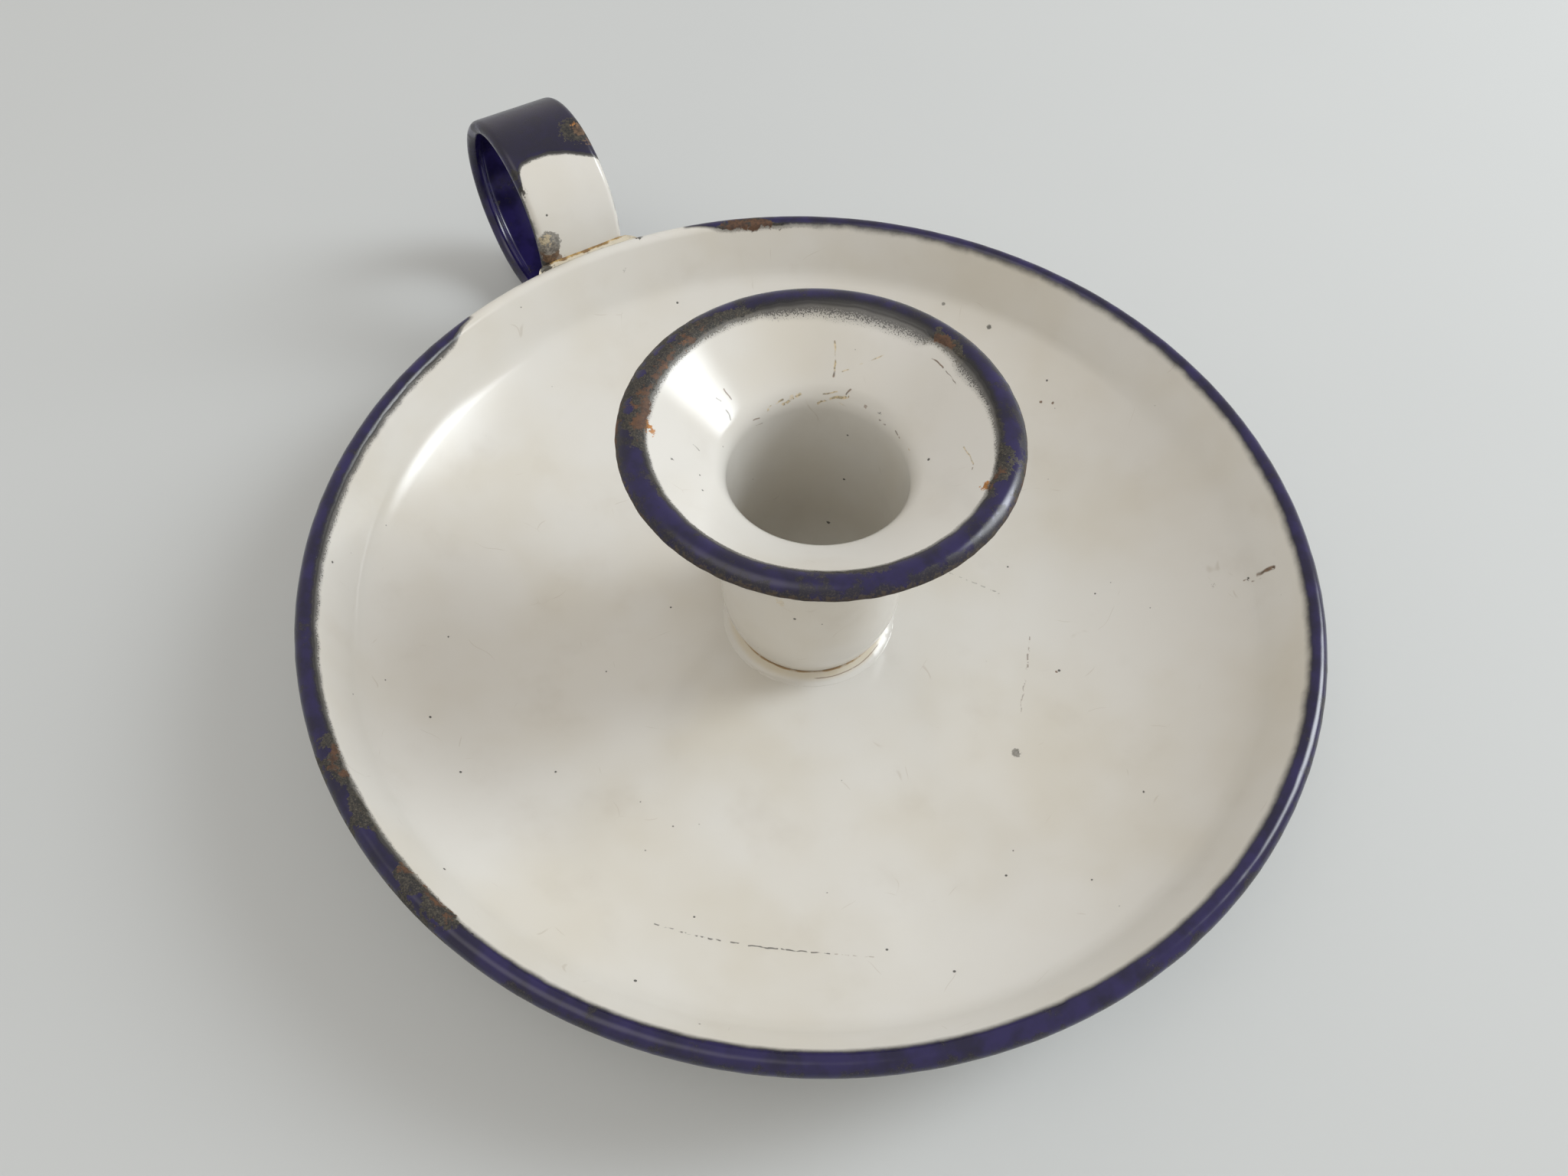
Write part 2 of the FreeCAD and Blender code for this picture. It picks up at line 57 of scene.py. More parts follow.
class Wiring:
    """Adds nodes to one tree and joins their sockets."""

    def __init__(self, tree: bpy.types.NodeTree) -> None:
        """Start on an existing tree.

        Args:
            tree: The tree that takes the nodes.
        """
        self.tree = tree

    def add(self, kind: str, *values: Any, **settings: Any) -> bpy.types.Node:
        """Add one node.

        Args:
            kind: The node's type name.
            values: What feeds its inputs, in their order.
            settings: Properties to set on the node.

        Returns:
            The new node.
        """
        node = self.tree.nodes.new(kind)
        for name, value in settings.items():
            setattr(node, name, value)
        for socket, value in zip([s for s in node.inputs if s.enabled], values):
            self.put(socket, value)
        return node

    def put(self, socket: bpy.types.NodeSocket, value: Any) -> None:
        """Feed a socket with another socket, a node's first output or a constant.

        Args:
            socket: The input to feed.
            value: What feeds it.
        """
        if isinstance(value, bpy.types.Node):
            value = value.outputs[0]
        if isinstance(value, bpy.types.NodeSocket):
            self.tree.links.new(value, socket)
        elif isinstance(value, (tuple, list)) and socket.type == "RGBA" and len(value) == 3:
            socket.default_value = (*value, 1.0)
        else:
            socket.default_value = value

    def feed(self, node: bpy.types.Node, **values: Any) -> bpy.types.Node:
        """Feed a node's inputs by name, with underscores for spaces.

        Args:
            node: The node to feed.
            values: What feeds each input.

        Returns:
            The same node.
        """
        for name, value in values.items():
            title = name.replace("_", " ")
            socket = next(s for s in node.inputs if s.name == title and s.enabled)
            self.put(socket, value)
        return node

    def calc(self, operation: str, *values: Any, clamp: bool = False) -> bpy.types.NodeSocket:
        """Work out a number from others.

        Args:
            operation: The Math node's operation.
            values: Sockets or numbers.
            clamp: Whether the result is kept between 0 and 1.

        Returns:
            The result's socket.
        """
        return self.add("ShaderNodeMath", *values, operation=operation, use_clamp=clamp).outputs[0]

    def chain(self, operation: str, values: Sequence[Any]) -> Any:
        """Work out one number from several, from the first to the last.

        Args:
            operation: The Math node's operation.
            values: Sockets or numbers.

        Returns:
            The result's socket.
        """
        result = values[0]
        for value in values[1:]:
            result = self.calc(operation, result, value)
        return result

    def total(self, *values: Any) -> Any:
        """Add up several numbers."""
        return self.chain("ADD", values)

    def times(self, *values: Any) -> Any:
        """Multiply several numbers."""
        return self.chain("MULTIPLY", values)

    def most(self, *values: Any) -> Any:
        """The largest of several numbers."""
        return self.chain("MAXIMUM", values)

    def minus(self, value: Any, less: Any) -> bpy.types.NodeSocket:
        """Take one number from another."""
        return self.calc("SUBTRACT", value, less)

    def linear(self, value: Any, slope: Any, start: Any) -> bpy.types.NodeSocket:
        """Multiply a number and then add another."""
        return self.calc("MULTIPLY_ADD", value, slope, start)

    def vec(self, operation: str, *values: Any) -> bpy.types.NodeSocket:
        """Work out a vector, or the number that the operation gives."""
        node = self.add("ShaderNodeVectorMath", *values, operation=operation)
        return next(s for s in node.outputs if s.enabled)

    def scaled(self, vector: Any, factor: Any) -> bpy.types.NodeSocket:
        """Multiply a vector by a number."""
        return self.vec("SCALE", vector, factor)

    def away(self, across: Any, up: Any) -> bpy.types.NodeSocket:
        """The distance of a place from zero."""
        return self.calc("SQRT", self.total(self.times(across, across), self.times(up, up)))

    def bearing(self, across: Any, up: Any) -> bpy.types.NodeSocket:
        """The angle of a place round zero in degrees."""
        return self.calc("DEGREES", self.calc("ARCTAN2", up, across))

    def step(self, value: Any, low: Any, high: Any) -> bpy.types.NodeSocket:
        """Rise smoothly from 0 at the low bound to 1 at the high bound.

        Args:
            value: The number to look at.
            low: Where it starts to rise.
            high: Where it has risen.

        Returns:
            The result's socket.
        """
        kind = "ShaderNodeMapRange"
        return self.add(kind, value, low, high, 0.0, 1.0, interpolation_type="SMOOTHSTEP").outputs[0]

    def fall(self, value: Any, low: Any, high: Any) -> bpy.types.NodeSocket:
        """Drop smoothly from 1 at the low bound to 0 at the high bound."""
        return self.minus(1.0, self.step(value, low, high))

    def scale_to(self, value: Any, low: float, high: float) -> bpy.types.NodeSocket:
        """Stretch a number from 0 to 1 over another range."""
        return self.linear(value, high - low, low)

    def noise(self, point: Any, size: float, detail: float = 3.0, seed: float = 0.0,
              rough: float = 0.55) -> bpy.types.NodeSocket:
        """Seeded noise between 0 and 1.

        Args:
            point: The place in millimetres.
            size: The size of its largest blobs in millimetres.
            detail: How many finer layers it has.
            seed: The slice of the noise.
            rough: The share that each finer layer keeps.

        Returns:
            The noise's socket.
        """
        node = self.add("ShaderNodeTexNoise", noise_dimensions="4D")
        self.feed(node, Vector=point, W=seed, Scale=1.0 / size, Detail=detail, Roughness=rough)
        return node.outputs[0]

    def drift(self, point: Any, size: float) -> bpy.types.NodeSocket:
        """Seeded noise as a vector round zero.

        Args:
            point: The place in millimetres.
            size: The size of its blobs in millimetres.

        Returns:
            The result's socket.
        """
        node = self.add("ShaderNodeTexNoise", noise_dimensions="4D")
        self.feed(node, Vector=point, W=9.0, Scale=1.0 / size, Detail=1.0)
        return self.vec("SUBTRACT", node.outputs["Color"], (0.5, 0.5, 0.5))

    def mix(self, amount: Any, first: Any, second: Any, kind: str = "RGBA") -> bpy.types.NodeSocket:
        """Blend two colours by an amount."""
        node = self.add("ShaderNodeMix", amount, first, second, data_type=kind, clamp_factor=True)
        return next(s for s in node.outputs if s.enabled)

    def blend(self, amount: Any, first: Any, second: Any) -> bpy.types.NodeSocket:
        """Blend two numbers by an amount."""
        return self.mix(amount, first, second, "FLOAT")

    def ramp(self, value: Any, stops: Sequence[tuple[float, Triple]]) -> list[bpy.types.NodeSocket]:
        """Look three numbers up along a line of stops.

        Args:
            value: The place on the line, from 0 to 1.
            stops: Places with the three numbers there.

        Returns:
            The sockets of the three numbers.
        """
        node = self.add("ShaderNodeValToRGB", value)
        elements = node.color_ramp.elements
        while len(elements) > 1:
            elements.remove(elements[0])
        elements[0].position = stops[0][0]
        elements[0].color = (*stops[0][1], 1.0)
        for place, numbers in stops[1:]:
            elements.new(place).color = (*numbers, 1.0)
        return list(self.add("ShaderNodeSeparateColor", node).outputs)

    def use(self, group: bpy.types.NodeTree, **values: Any) -> bpy.types.Node:
        """Add a group and feed its inputs."""
        node = self.add("ShaderNodeGroup", node_tree=group)
        return self.feed(node, **values)


class Group:
    """A shader node group, opened with its inputs and closed with its outputs."""

    KINDS = {"VALUE": "NodeSocketFloat", "VECTOR": "NodeSocketVector", "RGBA": "NodeSocketColor"}

    def __init__(self, name: str, **inputs: Any) -> None:
        """Open a group.

        Args:
            name: The group's name.
            inputs: The default of each input, a number or a place.
        """
        self.tree = bpy.data.node_groups.new(name, "ShaderNodeTree")
        for title, default in inputs.items():
            kind = self.KINDS["VECTOR" if isinstance(default, tuple) else "VALUE"]
            socket = self.tree.interface.new_socket(title, in_out="INPUT", socket_type=kind)
            socket.default_value = default
        self.wire = Wiring(self.tree)
        self.given = self.wire.add("NodeGroupInput").outputs[:len(inputs)]

    def close(self, **outputs: bpy.types.NodeSocket) -> bpy.types.NodeTree:
        """Give the group its outputs.

        Args:
            outputs: The socket that feeds each of them.

        Returns:
            The finished group.
        """
        for title, source in outputs.items():
            self.tree.interface.new_socket(title, in_out="OUTPUT", socket_type=self.KINDS[source.type])
        self.wire.feed(self.wire.add("NodeGroupOutput"), **outputs)
        return self.tree


# Marks and worn places


class Tint(Enum):
    """What a mark in the enamel shows."""

    DARK = (0.020, 0.018, 0.015)
    BROWN = (0.150, 0.085, 0.045)
    RUST = (0.400, 0.165, 0.032)
    GREY = (0.200, 0.190, 0.170)
    WAX = (0.540, 0.440, 0.270)


@dataclass(frozen=True)
class Speck:
    """A spot in the enamel."""

    place: Triple
    radius: float
    tint: Tint = Tint.DARK
    ragged: float = 0.1
    strength: float = 0.9


@dataclass(frozen=True)
class Scratch:
    """A straight piece of a scratch, which may be broken into dashes."""

    start: Triple
    end: Triple
    width: float
    tint: Tint = Tint.BROWN
    gap: float = 0.45
    strength: float = 0.7


@dataclass(frozen=True)
class RimState:
    """How a coloured rim has worn at one angle round the axis."""

    angle: float
    rust: float
    worn: float
    spray: float


def rim_states(*rows: tuple[float, float, float, float]) -> tuple[RimState, ...]:
    """Turn rows of angle, rust, wear and spray into the states of a rim."""
    return tuple(RimState(*row) for row in rows)


@dataclass(frozen=True)
class Enamel:
    """The colours of the enamel and of what shows where it is gone."""

    white: Triple = (0.715, 0.702, 0.670)
    cream: Triple = (0.660, 0.628, 0.560)
    grime: Triple = (0.330, 0.260, 0.180)
    blue: Triple = (0.0175, 0.0125, 0.0760)
    blue_deep: Triple = (0.0085, 0.0066, 0.0340)
    soot: Triple = (0.011, 0.0105, 0.010)
    olive: Triple = (0.060, 0.051, 0.035)
    ash: Triple = (0.140, 0.128, 0.106)
    rust_dark: Triple = (0.045, 0.020, 0.011)
    rust_brown: Triple = (0.105, 0.048, 0.022)
    rust_light: Triple = (0.360, 0.150, 0.036)
    gloss: float = 0.12
    dull: float = 0.60


def place_group() -> bpy.types.NodeTree:
    """The place on the part in millimetres, with its radius and angle round the axis.

    Returns:
        The group.
    """
    group = Group("part_place")
    wire = group.wire
    point = wire.scaled(wire.add("ShaderNodeTexCoord").outputs["Object"], 1.0 / MM)
    across, deep, height = wire.add("ShaderNodeSeparateXYZ", point).outputs
    return group.close(Point=point, Radius=wire.away(across, deep), Angle=wire.bearing(across, deep),
                       Across=across, Deep=deep, Height=height)


def skin_group() -> bpy.types.NodeTree:
    """Fired enamel: cloudy tone, pinholes, hairlines, grime and a slow waviness.

    Returns:
        The group.
    """
    group = Group("enamel_skin", Point=ZERO)
    wire = group.wire
    point = group.given[0]
    cells = wire.feed(wire.add("ShaderNodeTexVoronoi"), Vector=point, Scale=1.0 / 2.4)
    pick, share, _ = wire.add("ShaderNodeSeparateColor", cells.outputs["Color"]).outputs
    size = wire.scale_to(share, 0.020, 0.075)
    hole = wire.fall(cells.outputs["Distance"], size, wire.total(size, 0.035))
    pinhole = wire.times(wire.calc("GREATER_THAN", pick, 0.87), hole)
    bent = wire.vec("ADD", point, wire.scaled(wire.drift(point, 7.0), 5.0))
    web = wire.add("ShaderNodeTexVoronoi", feature="DISTANCE_TO_EDGE")
    wire.feed(web, Vector=bent, Scale=1.0 / 11.0)
    thin = wire.fall(web.outputs["Distance"], 0.0015, 0.0070)
    broken = wire.step(wire.noise(point, 6.0, detail=2.0, seed=5.0), 0.60, 0.68)
    slow = wire.times(wire.noise(point, 7.0, detail=1.0, seed=3.0), 0.012)
    fine = wire.times(wire.noise(point, 1.3, detail=0.0, seed=4.0), 0.0014)
    return group.close(
        Cloud=wire.noise(point, 26.0, detail=3.0, seed=1.0),
        Haze=wire.step(wire.noise(point, 9.0, detail=4.0, seed=2.0), 0.52, 0.80), Pinhole=pinhole,
        Hairline=wire.times(thin, broken), Height=wire.total(slow, fine, wire.times(pinhole, -0.02)))


def speck_group() -> bpy.types.NodeTree:
    """The mask of one spot with a ragged edge.

    Returns:
        The group.
    """
    group = Group("speck", Point=ZERO, Centre=ZERO, Radius=0.3, Ragged=0.1, Noise=0.5)
    wire = group.wire
    point, centre, radius, ragged, noise = group.given
    shake = wire.times(wire.linear(noise, 5.0, -2.5), ragged)
    rest = wire.minus(wire.total(radius, shake), wire.vec("DISTANCE", point, centre))
    return group.close(Mask=wire.step(rest, -0.04, 0.10))


def scratch_group() -> bpy.types.NodeTree:
    """The mask of one straight scratch that noise breaks into dashes.

    Returns:
        The group.
    """
    group = Group("scratch", Point=ZERO, Start=ZERO, End=ZERO, Width=0.1, Gap=0.45, Noise=0.5)
    wire = group.wire
    point, start, end, width, gap, noise = group.given
    run = wire.vec("SUBTRACT", end, start)
    off = wire.vec("SUBTRACT", point, start)
    share = wire.calc("DIVIDE", wire.vec("DOT_PRODUCT", off, run), wire.vec("DOT_PRODUCT", run, run),
                      clamp=True)
    away = wire.vec("DISTANCE", off, wire.scaled(run, share))
    line = wire.fall(away, wire.times(width, 0.5), wire.total(width, 0.05))
    return group.close(Mask=wire.times(line, wire.step(noise, gap, wire.total(gap, 0.05))))


def rust_group(enamel: Enamel) -> bpy.types.NodeTree:
    """The colour of rusted steel.

    Args:
        enamel: The colours.

    Returns:
        The group.
    """
    group = Group("rust_tone", Point=ZERO, Fresh=0.0)
    wire = group.wire
    point, fresh = group.given
    mottle = wire.noise(point, 0.8, detail=4.0, seed=21.0, rough=0.75)
    mottle = wire.total(mottle, wire.times(fresh, 0.12))
    tone = wire.mix(wire.step(mottle, 0.36, 0.58), enamel.rust_dark, enamel.rust_brown)
    return group.close(Colour=wire.mix(wire.step(mottle, 0.60, 0.76), tone, enamel.rust_light))


def wear_group(enamel: Enamel, rust: bpy.types.NodeTree) -> bpy.types.NodeTree:
    """A coloured rim and its wear: ragged border, soot, worn olive ground and rust; its tarnish input dulls
    the blue, and on the dish's bead that dulling is painted shade.

    Edge is the distance in millimetres to the border, positive on the white side.

    Args:
        enamel: The colours.
        rust: The group of the rust's colour.

    Returns:
        The group.
    """
    group = Group("rim_wear", Point=ZERO, Edge=0.0, Rust=0.0, Worn=0.0, Spray=0.0, Reach=2.0, Tarnish=0.1)
    wire = group.wire
    point, edge, rust_level, worn, spray, reach, tarnish_and_shade = group.given
    coarse = wire.minus(wire.noise(point, 2.6, detail=1.0, seed=11.0), 0.5)
    crisp = wire.minus(wire.noise(point, 0.8, detail=4.0, seed=12.0, rough=0.7), 0.5)
    grain = wire.noise(point, 0.20, detail=2.0, seed=13.0, rough=0.6)
    jitter = wire.times(crisp, wire.linear(worn, 1.1, 0.10))
    border = wire.total(edge, wire.times(coarse, wire.linear(worn, 1.0, 0.25)), jitter)
    soft = wire.minus(0.42, wire.times(wire.step(worn, 0.15, 0.60), 0.34))
    solid = wire.fall(border, wire.times(soft, -1.0), soft)
    calm = wire.linear(coarse, 0.35, edge)
    fade = wire.fall(calm, wire.times(spray, -0.3), wire.linear(spray, 2.5, 0.10))
    dots = wire.times(wire.step(wire.linear(fade, 0.42, grain), 0.65, 0.80), 0.85)
    haze = wire.times(wire.calc("POWER", fade, 1.5), 0.97)
    sprayed = wire.times(wire.most(dots, haze), wire.step(fade, 0.0, 0.25))
    cover = wire.most(solid, wire.times(sprayed, wire.step(spray, 0.02, 0.2)))
    depth = wire.times(border, -1.0)
    soot_depth = wire.total(wire.linear(spray, 1.25, 0.06), wire.times(crisp, 0.9))
    soot = wire.fall(depth, wire.times(soot_depth, 0.35), wire.total(soot_depth, 0.45))
    bare_depth = wire.total(wire.times(worn, reach), wire.times(coarse, 3.4), wire.times(crisp, 2.4), -0.75)
    bare = wire.step(wire.minus(bare_depth, depth), -0.05, 0.10)
    bare = wire.times(bare, wire.step(worn, 0.30, 0.55))
    blotch = wire.noise(point, 1.5, detail=4.0, seed=14.0, rough=0.7)
    heat = wire.total(wire.times(rust_level, 0.80), wire.linear(blotch, 2.6, -1.3),
                      wire.times(wire.calc("ABSOLUTE", wire.total(border, 0.35)), -0.25))
    rusty = wire.times(wire.step(heat, 0.52, 0.66), wire.step(rust_level, 0.05, 0.30))
    rusty = wire.times(rusty, wire.fall(border, 0.15, 0.45))
    sheen = wire.mix(wire.step(wire.noise(point, 3.5, detail=3.0, seed=15.0), 0.35, 0.65), enamel.blue_deep,
                     enamel.blue)
    ground = wire.mix(wire.step(wire.total(grain, wire.times(crisp, 0.6)), 0.40, 0.62), enamel.soot,
                      enamel.olive)
    ground = wire.mix(wire.times(wire.step(grain, 0.60, 0.70), wire.times(bare, 0.8)), ground, enamel.ash)
    # The tarnish input raises this dull film: random dulling, and painted shade where the dish feeds it.
    film_and_shade = wire.total(wire.noise(point, 2.2, detail=4.0, seed=16.0, rough=0.65), tarnish_and_shade)
    film_and_shade = wire.step(film_and_shade, 0.58, 0.72)
    dulled = wire.mix(wire.step(grain, 0.48, 0.70), enamel.soot, enamel.olive)
    tone = wire.mix(wire.times(film_and_shade, 0.70), sheen, dulled)
    tone = wire.mix(wire.times(soot, 0.92), tone, enamel.soot)
    tone = wire.mix(wire.times(bare, 0.95), tone, ground)
    tone = wire.mix(rusty, tone, wire.use(rust, Point=point, Fresh=wire.step(heat, 0.85, 1.45)))
    dull = wire.most(wire.times(soot, 0.3), wire.times(film_and_shade, 0.35), bare, rusty)
    height = wire.times(wire.step(border, 0.10, -0.15), 0.03)
    return group.close(Colour=tone, Cover=wire.most(cover, rusty), Worn=dull, Height=height)


class Paintbox:
    """The node groups and colours that every finish of the part shares."""

    def __init__(self, enamel: Enamel) -> None:
        """Build the groups once.

        Args:
            enamel: The colours.
        """
        self.enamel = enamel
        self.place = place_group()
        self.skin = skin_group()
        self.speck = speck_group()
        self.scratch = scratch_group()
        self.rust = rust_group(enamel)
        self.wear = wear_group(enamel, self.rust)


class Finish:
    """One material, built up in layers from the white ground."""

    def __init__(self, name: str, box: Paintbox) -> None:
        """Open a material with its white ground.

        Args:
            name: The material's name.
            box: The shared groups.
        """
        self.box = box
        self.material = bpy.data.materials.new(name)
        self.material.use_nodes = True
        self.wire = Wiring(self.material.node_tree)
        wire, enamel = self.wire, box.enamel
        # The level is how high a place is on the part, and the height is that of the bumps.
        place = wire.use(box.place).outputs
        self.point, self.radius, self.angle, self.across, self.deep, self.level = place
        cloud, haze, pinhole, hairline, self.height = wire.use(box.skin, Point=self.point).outputs
        tone = wire.mix(wire.step(cloud, 0.35, 0.75), enamel.white, enamel.cream)
        tone = wire.mix(wire.times(haze, 0.10), tone, enamel.grime)
        tone = wire.mix(wire.times(hairline, 0.22), tone, enamel.grime)
        self.tone = wire.mix(wire.times(pinhole, 0.85), tone, enamel.soot)
        self.rough = wire.scale_to(haze, enamel.gloss, enamel.gloss + 0.08)
        self.bent = wire.vec("ADD", self.point, wire.scaled(wire.drift(self.point, 1.6), 0.7))
        self.shake = wire.noise(self.point, 0.5, detail=3.0, seed=31.0, rough=0.65)
        self.dashes = wire.noise(self.point, 0.7, detail=1.0, seed=32.0)

    def layer(self, mask: Any, tone: Any, rough: Any, height: Any = None) -> None:
        """Lay another finish over what is there.

        Args:
            mask: Where it lies, from 0 to 1.
            tone: Its colour.
            rough: Its roughness.
            height: What it adds to the height in millimetres, if anything.
        """
        self.tone = self.wire.mix(mask, self.tone, tone)
        self.rough = self.wire.blend(mask, self.rough, rough)
        if height is not None:
            self.height = self.wire.total(self.height, height)

    def rim(self, edge: Any, state: Sequence[Any], reach: float, tarnish_and_shade: Any) -> None:
        """Lay the blue rim over the white, with its wear.

        Args:
            edge: The distance to its border in millimetres, positive on the white side.
            state: How rusty it is, how worn it is and how widely its border is sprayed.
            reach: How far the heaviest wear reaches into the blue, in millimetres.
            tarnish_and_shade: How much of the blue is dulled to grey; for the dish's bead this is painted
                shade.
        """
        rust, worn, spray = state
        colour, cover, dulled, height = self.wire.use(
            self.box.wear, Point=self.point, Edge=edge, Rust=rust, Worn=worn, Spray=spray, Reach=reach,
            Tarnish=tarnish_and_shade).outputs
        enamel = self.box.enamel
        rough = self.wire.blend(dulled, enamel.gloss + 0.04, enamel.dull)
        self.layer(cover, colour, rough, height)

    def spot(self, speck: Speck, point: Any) -> bpy.types.NodeSocket:
        """The mask of one speck, seen at a place."""
        node = self.wire.use(self.box.speck, Point=point, Centre=speck.place, Radius=speck.radius,
                             Ragged=speck.ragged, Noise=self.shake)
        return self.wire.times(node, speck.strength)

    def marks(self, specks: Sequence[Speck], scratches: Sequence[Scratch] = ()) -> None:
        """Draw every speck and scratch, one tint after the other.

        Args:
            specks: The specks.
            scratches: The scratches.
        """
        wire = self.wire
        for tint in Tint:
            masks = []
            for speck in (s for s in specks if s.tint is tint):
                masks.append(self.spot(speck, self.bent))
            for scratch in (s for s in scratches if s.tint is tint):
                node = wire.use(self.box.scratch, Point=self.bent, Start=scratch.start, End=scratch.end,
                                Width=scratch.width, Gap=scratch.gap, Noise=self.dashes)
                masks.append(wire.times(node, scratch.strength))
            if masks:
                dark, light = (tuple(value * share for value in tint.value) for share in (0.45, 1.25))
                tone = wire.mix(wire.step(self.shake, 0.38, 0.60), dark, light)
                self.layer(wire.most(*masks), tone, 0.5)

    def rim_line(self, states: Sequence[RimState]) -> list[bpy.types.NodeSocket]:
        """Look the wear of a rim up by the angle round the axis.

        Args:
            states: The rim's states in the order of their angles.

        Returns:
            How rusty, how worn and how widely sprayed it is.
        """
        turn = self.wire.linear(self.angle, 1.0 / 360.0, 0.5)
        stops = [((s.angle + 180.0) / 360.0, (s.rust, s.worn, s.spray)) for s in states]
        return self.wire.ramp(turn, stops)

    def close(self) -> bpy.types.Material:
        """Join the layers to the shader.

        Returns:
            The finished material.
        """
        bump = self.wire.feed(self.wire.add("ShaderNodeBump"), Strength=1.0, Distance=MM,
                              Height=self.height)
        shader = self.material.node_tree.nodes["Principled BSDF"]
        self.wire.feed(shader, Base_Color=self.tone, Roughness=self.rough, Normal=bump, IOR=1.52)
        return self.material


# Meshes


@dataclass(frozen=True)
class Station:
    """One place on a rail, with the two directions that a section lies in there."""

    origin: Triple
    out: Triple
    side: Triple
    thick: float = 1.0
    flatten: float = 0.0


@dataclass(frozen=True)
class Corner:
    """One point of a section, with its place where the section is flattened."""

    place: Pair
    flat: Optional[Pair] = None
    fray: float = 0.0


@dataclass(frozen=True)
class Wave:
    """How far from true a pressed and fired surface is."""

    height: float = 0.05
    length: float = 18.0
    fray: float = 0.10
    fray_length: float = 1.4
    middle: float = 0.0
    seed: float = 0.0


class Sweep:
    """The Geometry Nodes tree that sweeps a section along a rail."""

    INPUTS = {"Section": "Geometry", "Rail": "Object", "Wave Height": "Float", "Wave Length": "Float",
              "Fray Height": "Float", "Fray Length": "Float", "Middle": "Float", "Seed": "Float",
              "Weld": "Float", "Finish": "Material"}
    WELD = 2.0e-6

    def __init__(self) -> None:
        """Build the tree."""
        tree = self.tree = bpy.data.node_groups.new("sweep_section", "GeometryNodeTree")
        self.sockets = {}
        for name, kind in self.INPUTS.items():
            socket = tree.interface.new_socket(name, in_out="INPUT", socket_type="NodeSocket" + kind)
            self.sockets[name] = socket.identifier
        tree.interface.new_socket("Shell", in_out="OUTPUT", socket_type="NodeSocketGeometry")
        wire = Wiring(tree)
        given = wire.add("NodeGroupInput").outputs
        section, middle = given["Section"], given["Middle"]
        source = wire.add("GeometryNodeObjectInfo", given["Rail"], transform_space="ORIGINAL")
        rail = source.outputs["Geometry"]
        count = self.count(wire, section)
        grid = wire.feed(wire.add("GeometryNodeMeshGrid"), Vertices_X=self.count(wire, rail),
                         Vertices_Y=count)
        index = wire.add("GeometryNodeInputIndex").outputs[0]
        # Half a step keeps the row right where the division rounds.
        row = wire.calc("FLOOR", wire.calc("DIVIDE", wire.total(index, 0.5), count))
        column = wire.minus(index, wire.times(row, count))
        shape, flat = (self.pick(wire, section, column, name) for name in ("", "flat"))
        base, out, side = (self.pick(wire, rail, row, name) for name in ("", "out", "side"))
        flatten, thick = (self.pick(wire, rail, row, name) for name in ("flatten", "thick"))
        mixed = wire.vec("ADD", shape, wire.scaled(wire.vec("SUBTRACT", flat, shape), flatten))
        rise, along, _ = wire.add("ShaderNodeSeparateXYZ", mixed).outputs
        level = wire.total(wire.times(wire.minus(rise, middle), thick), middle)
        offset = wire.vec("ADD", wire.scaled(out, level), wire.scaled(side, along))
        place = wire.vec("ADD", base, offset)
        placed = wire.feed(wire.add("GeometryNodeSetPosition"), Geometry=grid, Position=place)
        marked = wire.add("GeometryNodeStoreNamedAttribute", data_type="FLOAT", domain="POINT")
        fray = self.pick(wire, section, column, "fray")
        wire.feed(marked, Geometry=placed, Name="fray", Value=fray)
        welded = wire.feed(wire.add("GeometryNodeMergeByDistance"), Geometry=marked, Distance=given["Weld"])
        bent = wire.feed(wire.add("GeometryNodeSetPosition"), Geometry=welded,
                         Offset=self.drift(wire, given))
        real = wire.add("GeometryNodeRealizeInstances", wire.add("GeometryNodeSetShadeSmooth", bent))
        coat = wire.feed(wire.add("GeometryNodeSetMaterial"), Geometry=real, Material=given["Finish"])
        wire.add("NodeGroupOutput", coat)

    @staticmethod
    def count(wire: Wiring, mesh: bpy.types.NodeSocket) -> bpy.types.NodeSocket:
        """How many points a mesh has."""
        return wire.add("GeometryNodeAttributeDomainSize", mesh, component="MESH").outputs["Point Count"]

    @staticmethod
    def pick(wire: Wiring, mesh: Any, index: Any, name: str) -> bpy.types.NodeSocket:
        """Read an attribute, or the position if it has no name, at one point of a mesh.

        Args:
            wire: The tree that takes the nodes.
            mesh: The mesh to read.
            index: The point's number.
            name: The attribute's name.

        Returns:
            The result's socket.
        """
        kind = "FLOAT" if name in ("fray", "flatten", "thick") else "FLOAT_VECTOR"
        if name:
            source = wire.add("GeometryNodeInputNamedAttribute", name, data_type=kind)
        else:
            source = wire.add("GeometryNodeInputPosition")
        node = wire.add("GeometryNodeSampleIndex", data_type=kind, domain="POINT")
        return wire.feed(node, Geometry=mesh, Value=source, Index=index).outputs[0]

    @staticmethod
    def drift(wire: Wiring, given: Any) -> bpy.types.NodeSocket:
        """How far each point leaves the true surface: a slow wave, and a frayed edge.

        Args:
            wire: The tree that takes the nodes.
            given: The tree's inputs.

        Returns:
            The result's socket.
        """
        place, normal = wire.add("GeometryNodeInputPosition"), wire.add("GeometryNodeInputNormal")
        waves = []
        for kind, seed in (("Wave", 0.0), ("Fray", 50.0)):
            node = wire.add("ShaderNodeTexNoise", noise_dimensions="4D")
            wire.feed(node, Vector=place, W=wire.total(given["Seed"], seed),
                      Scale=wire.calc("DIVIDE", 1.0, given[kind + " Length"]), Detail=2.0)
            waves.append(wire.times(wire.minus(node, 0.5), given[kind + " Height"]))
        fray = wire.add("GeometryNodeInputNamedAttribute", "fray", data_type="FLOAT")
        return wire.scaled(normal, wire.times(wire.total(waves[0], wire.times(waves[1], fray)), 2.0))

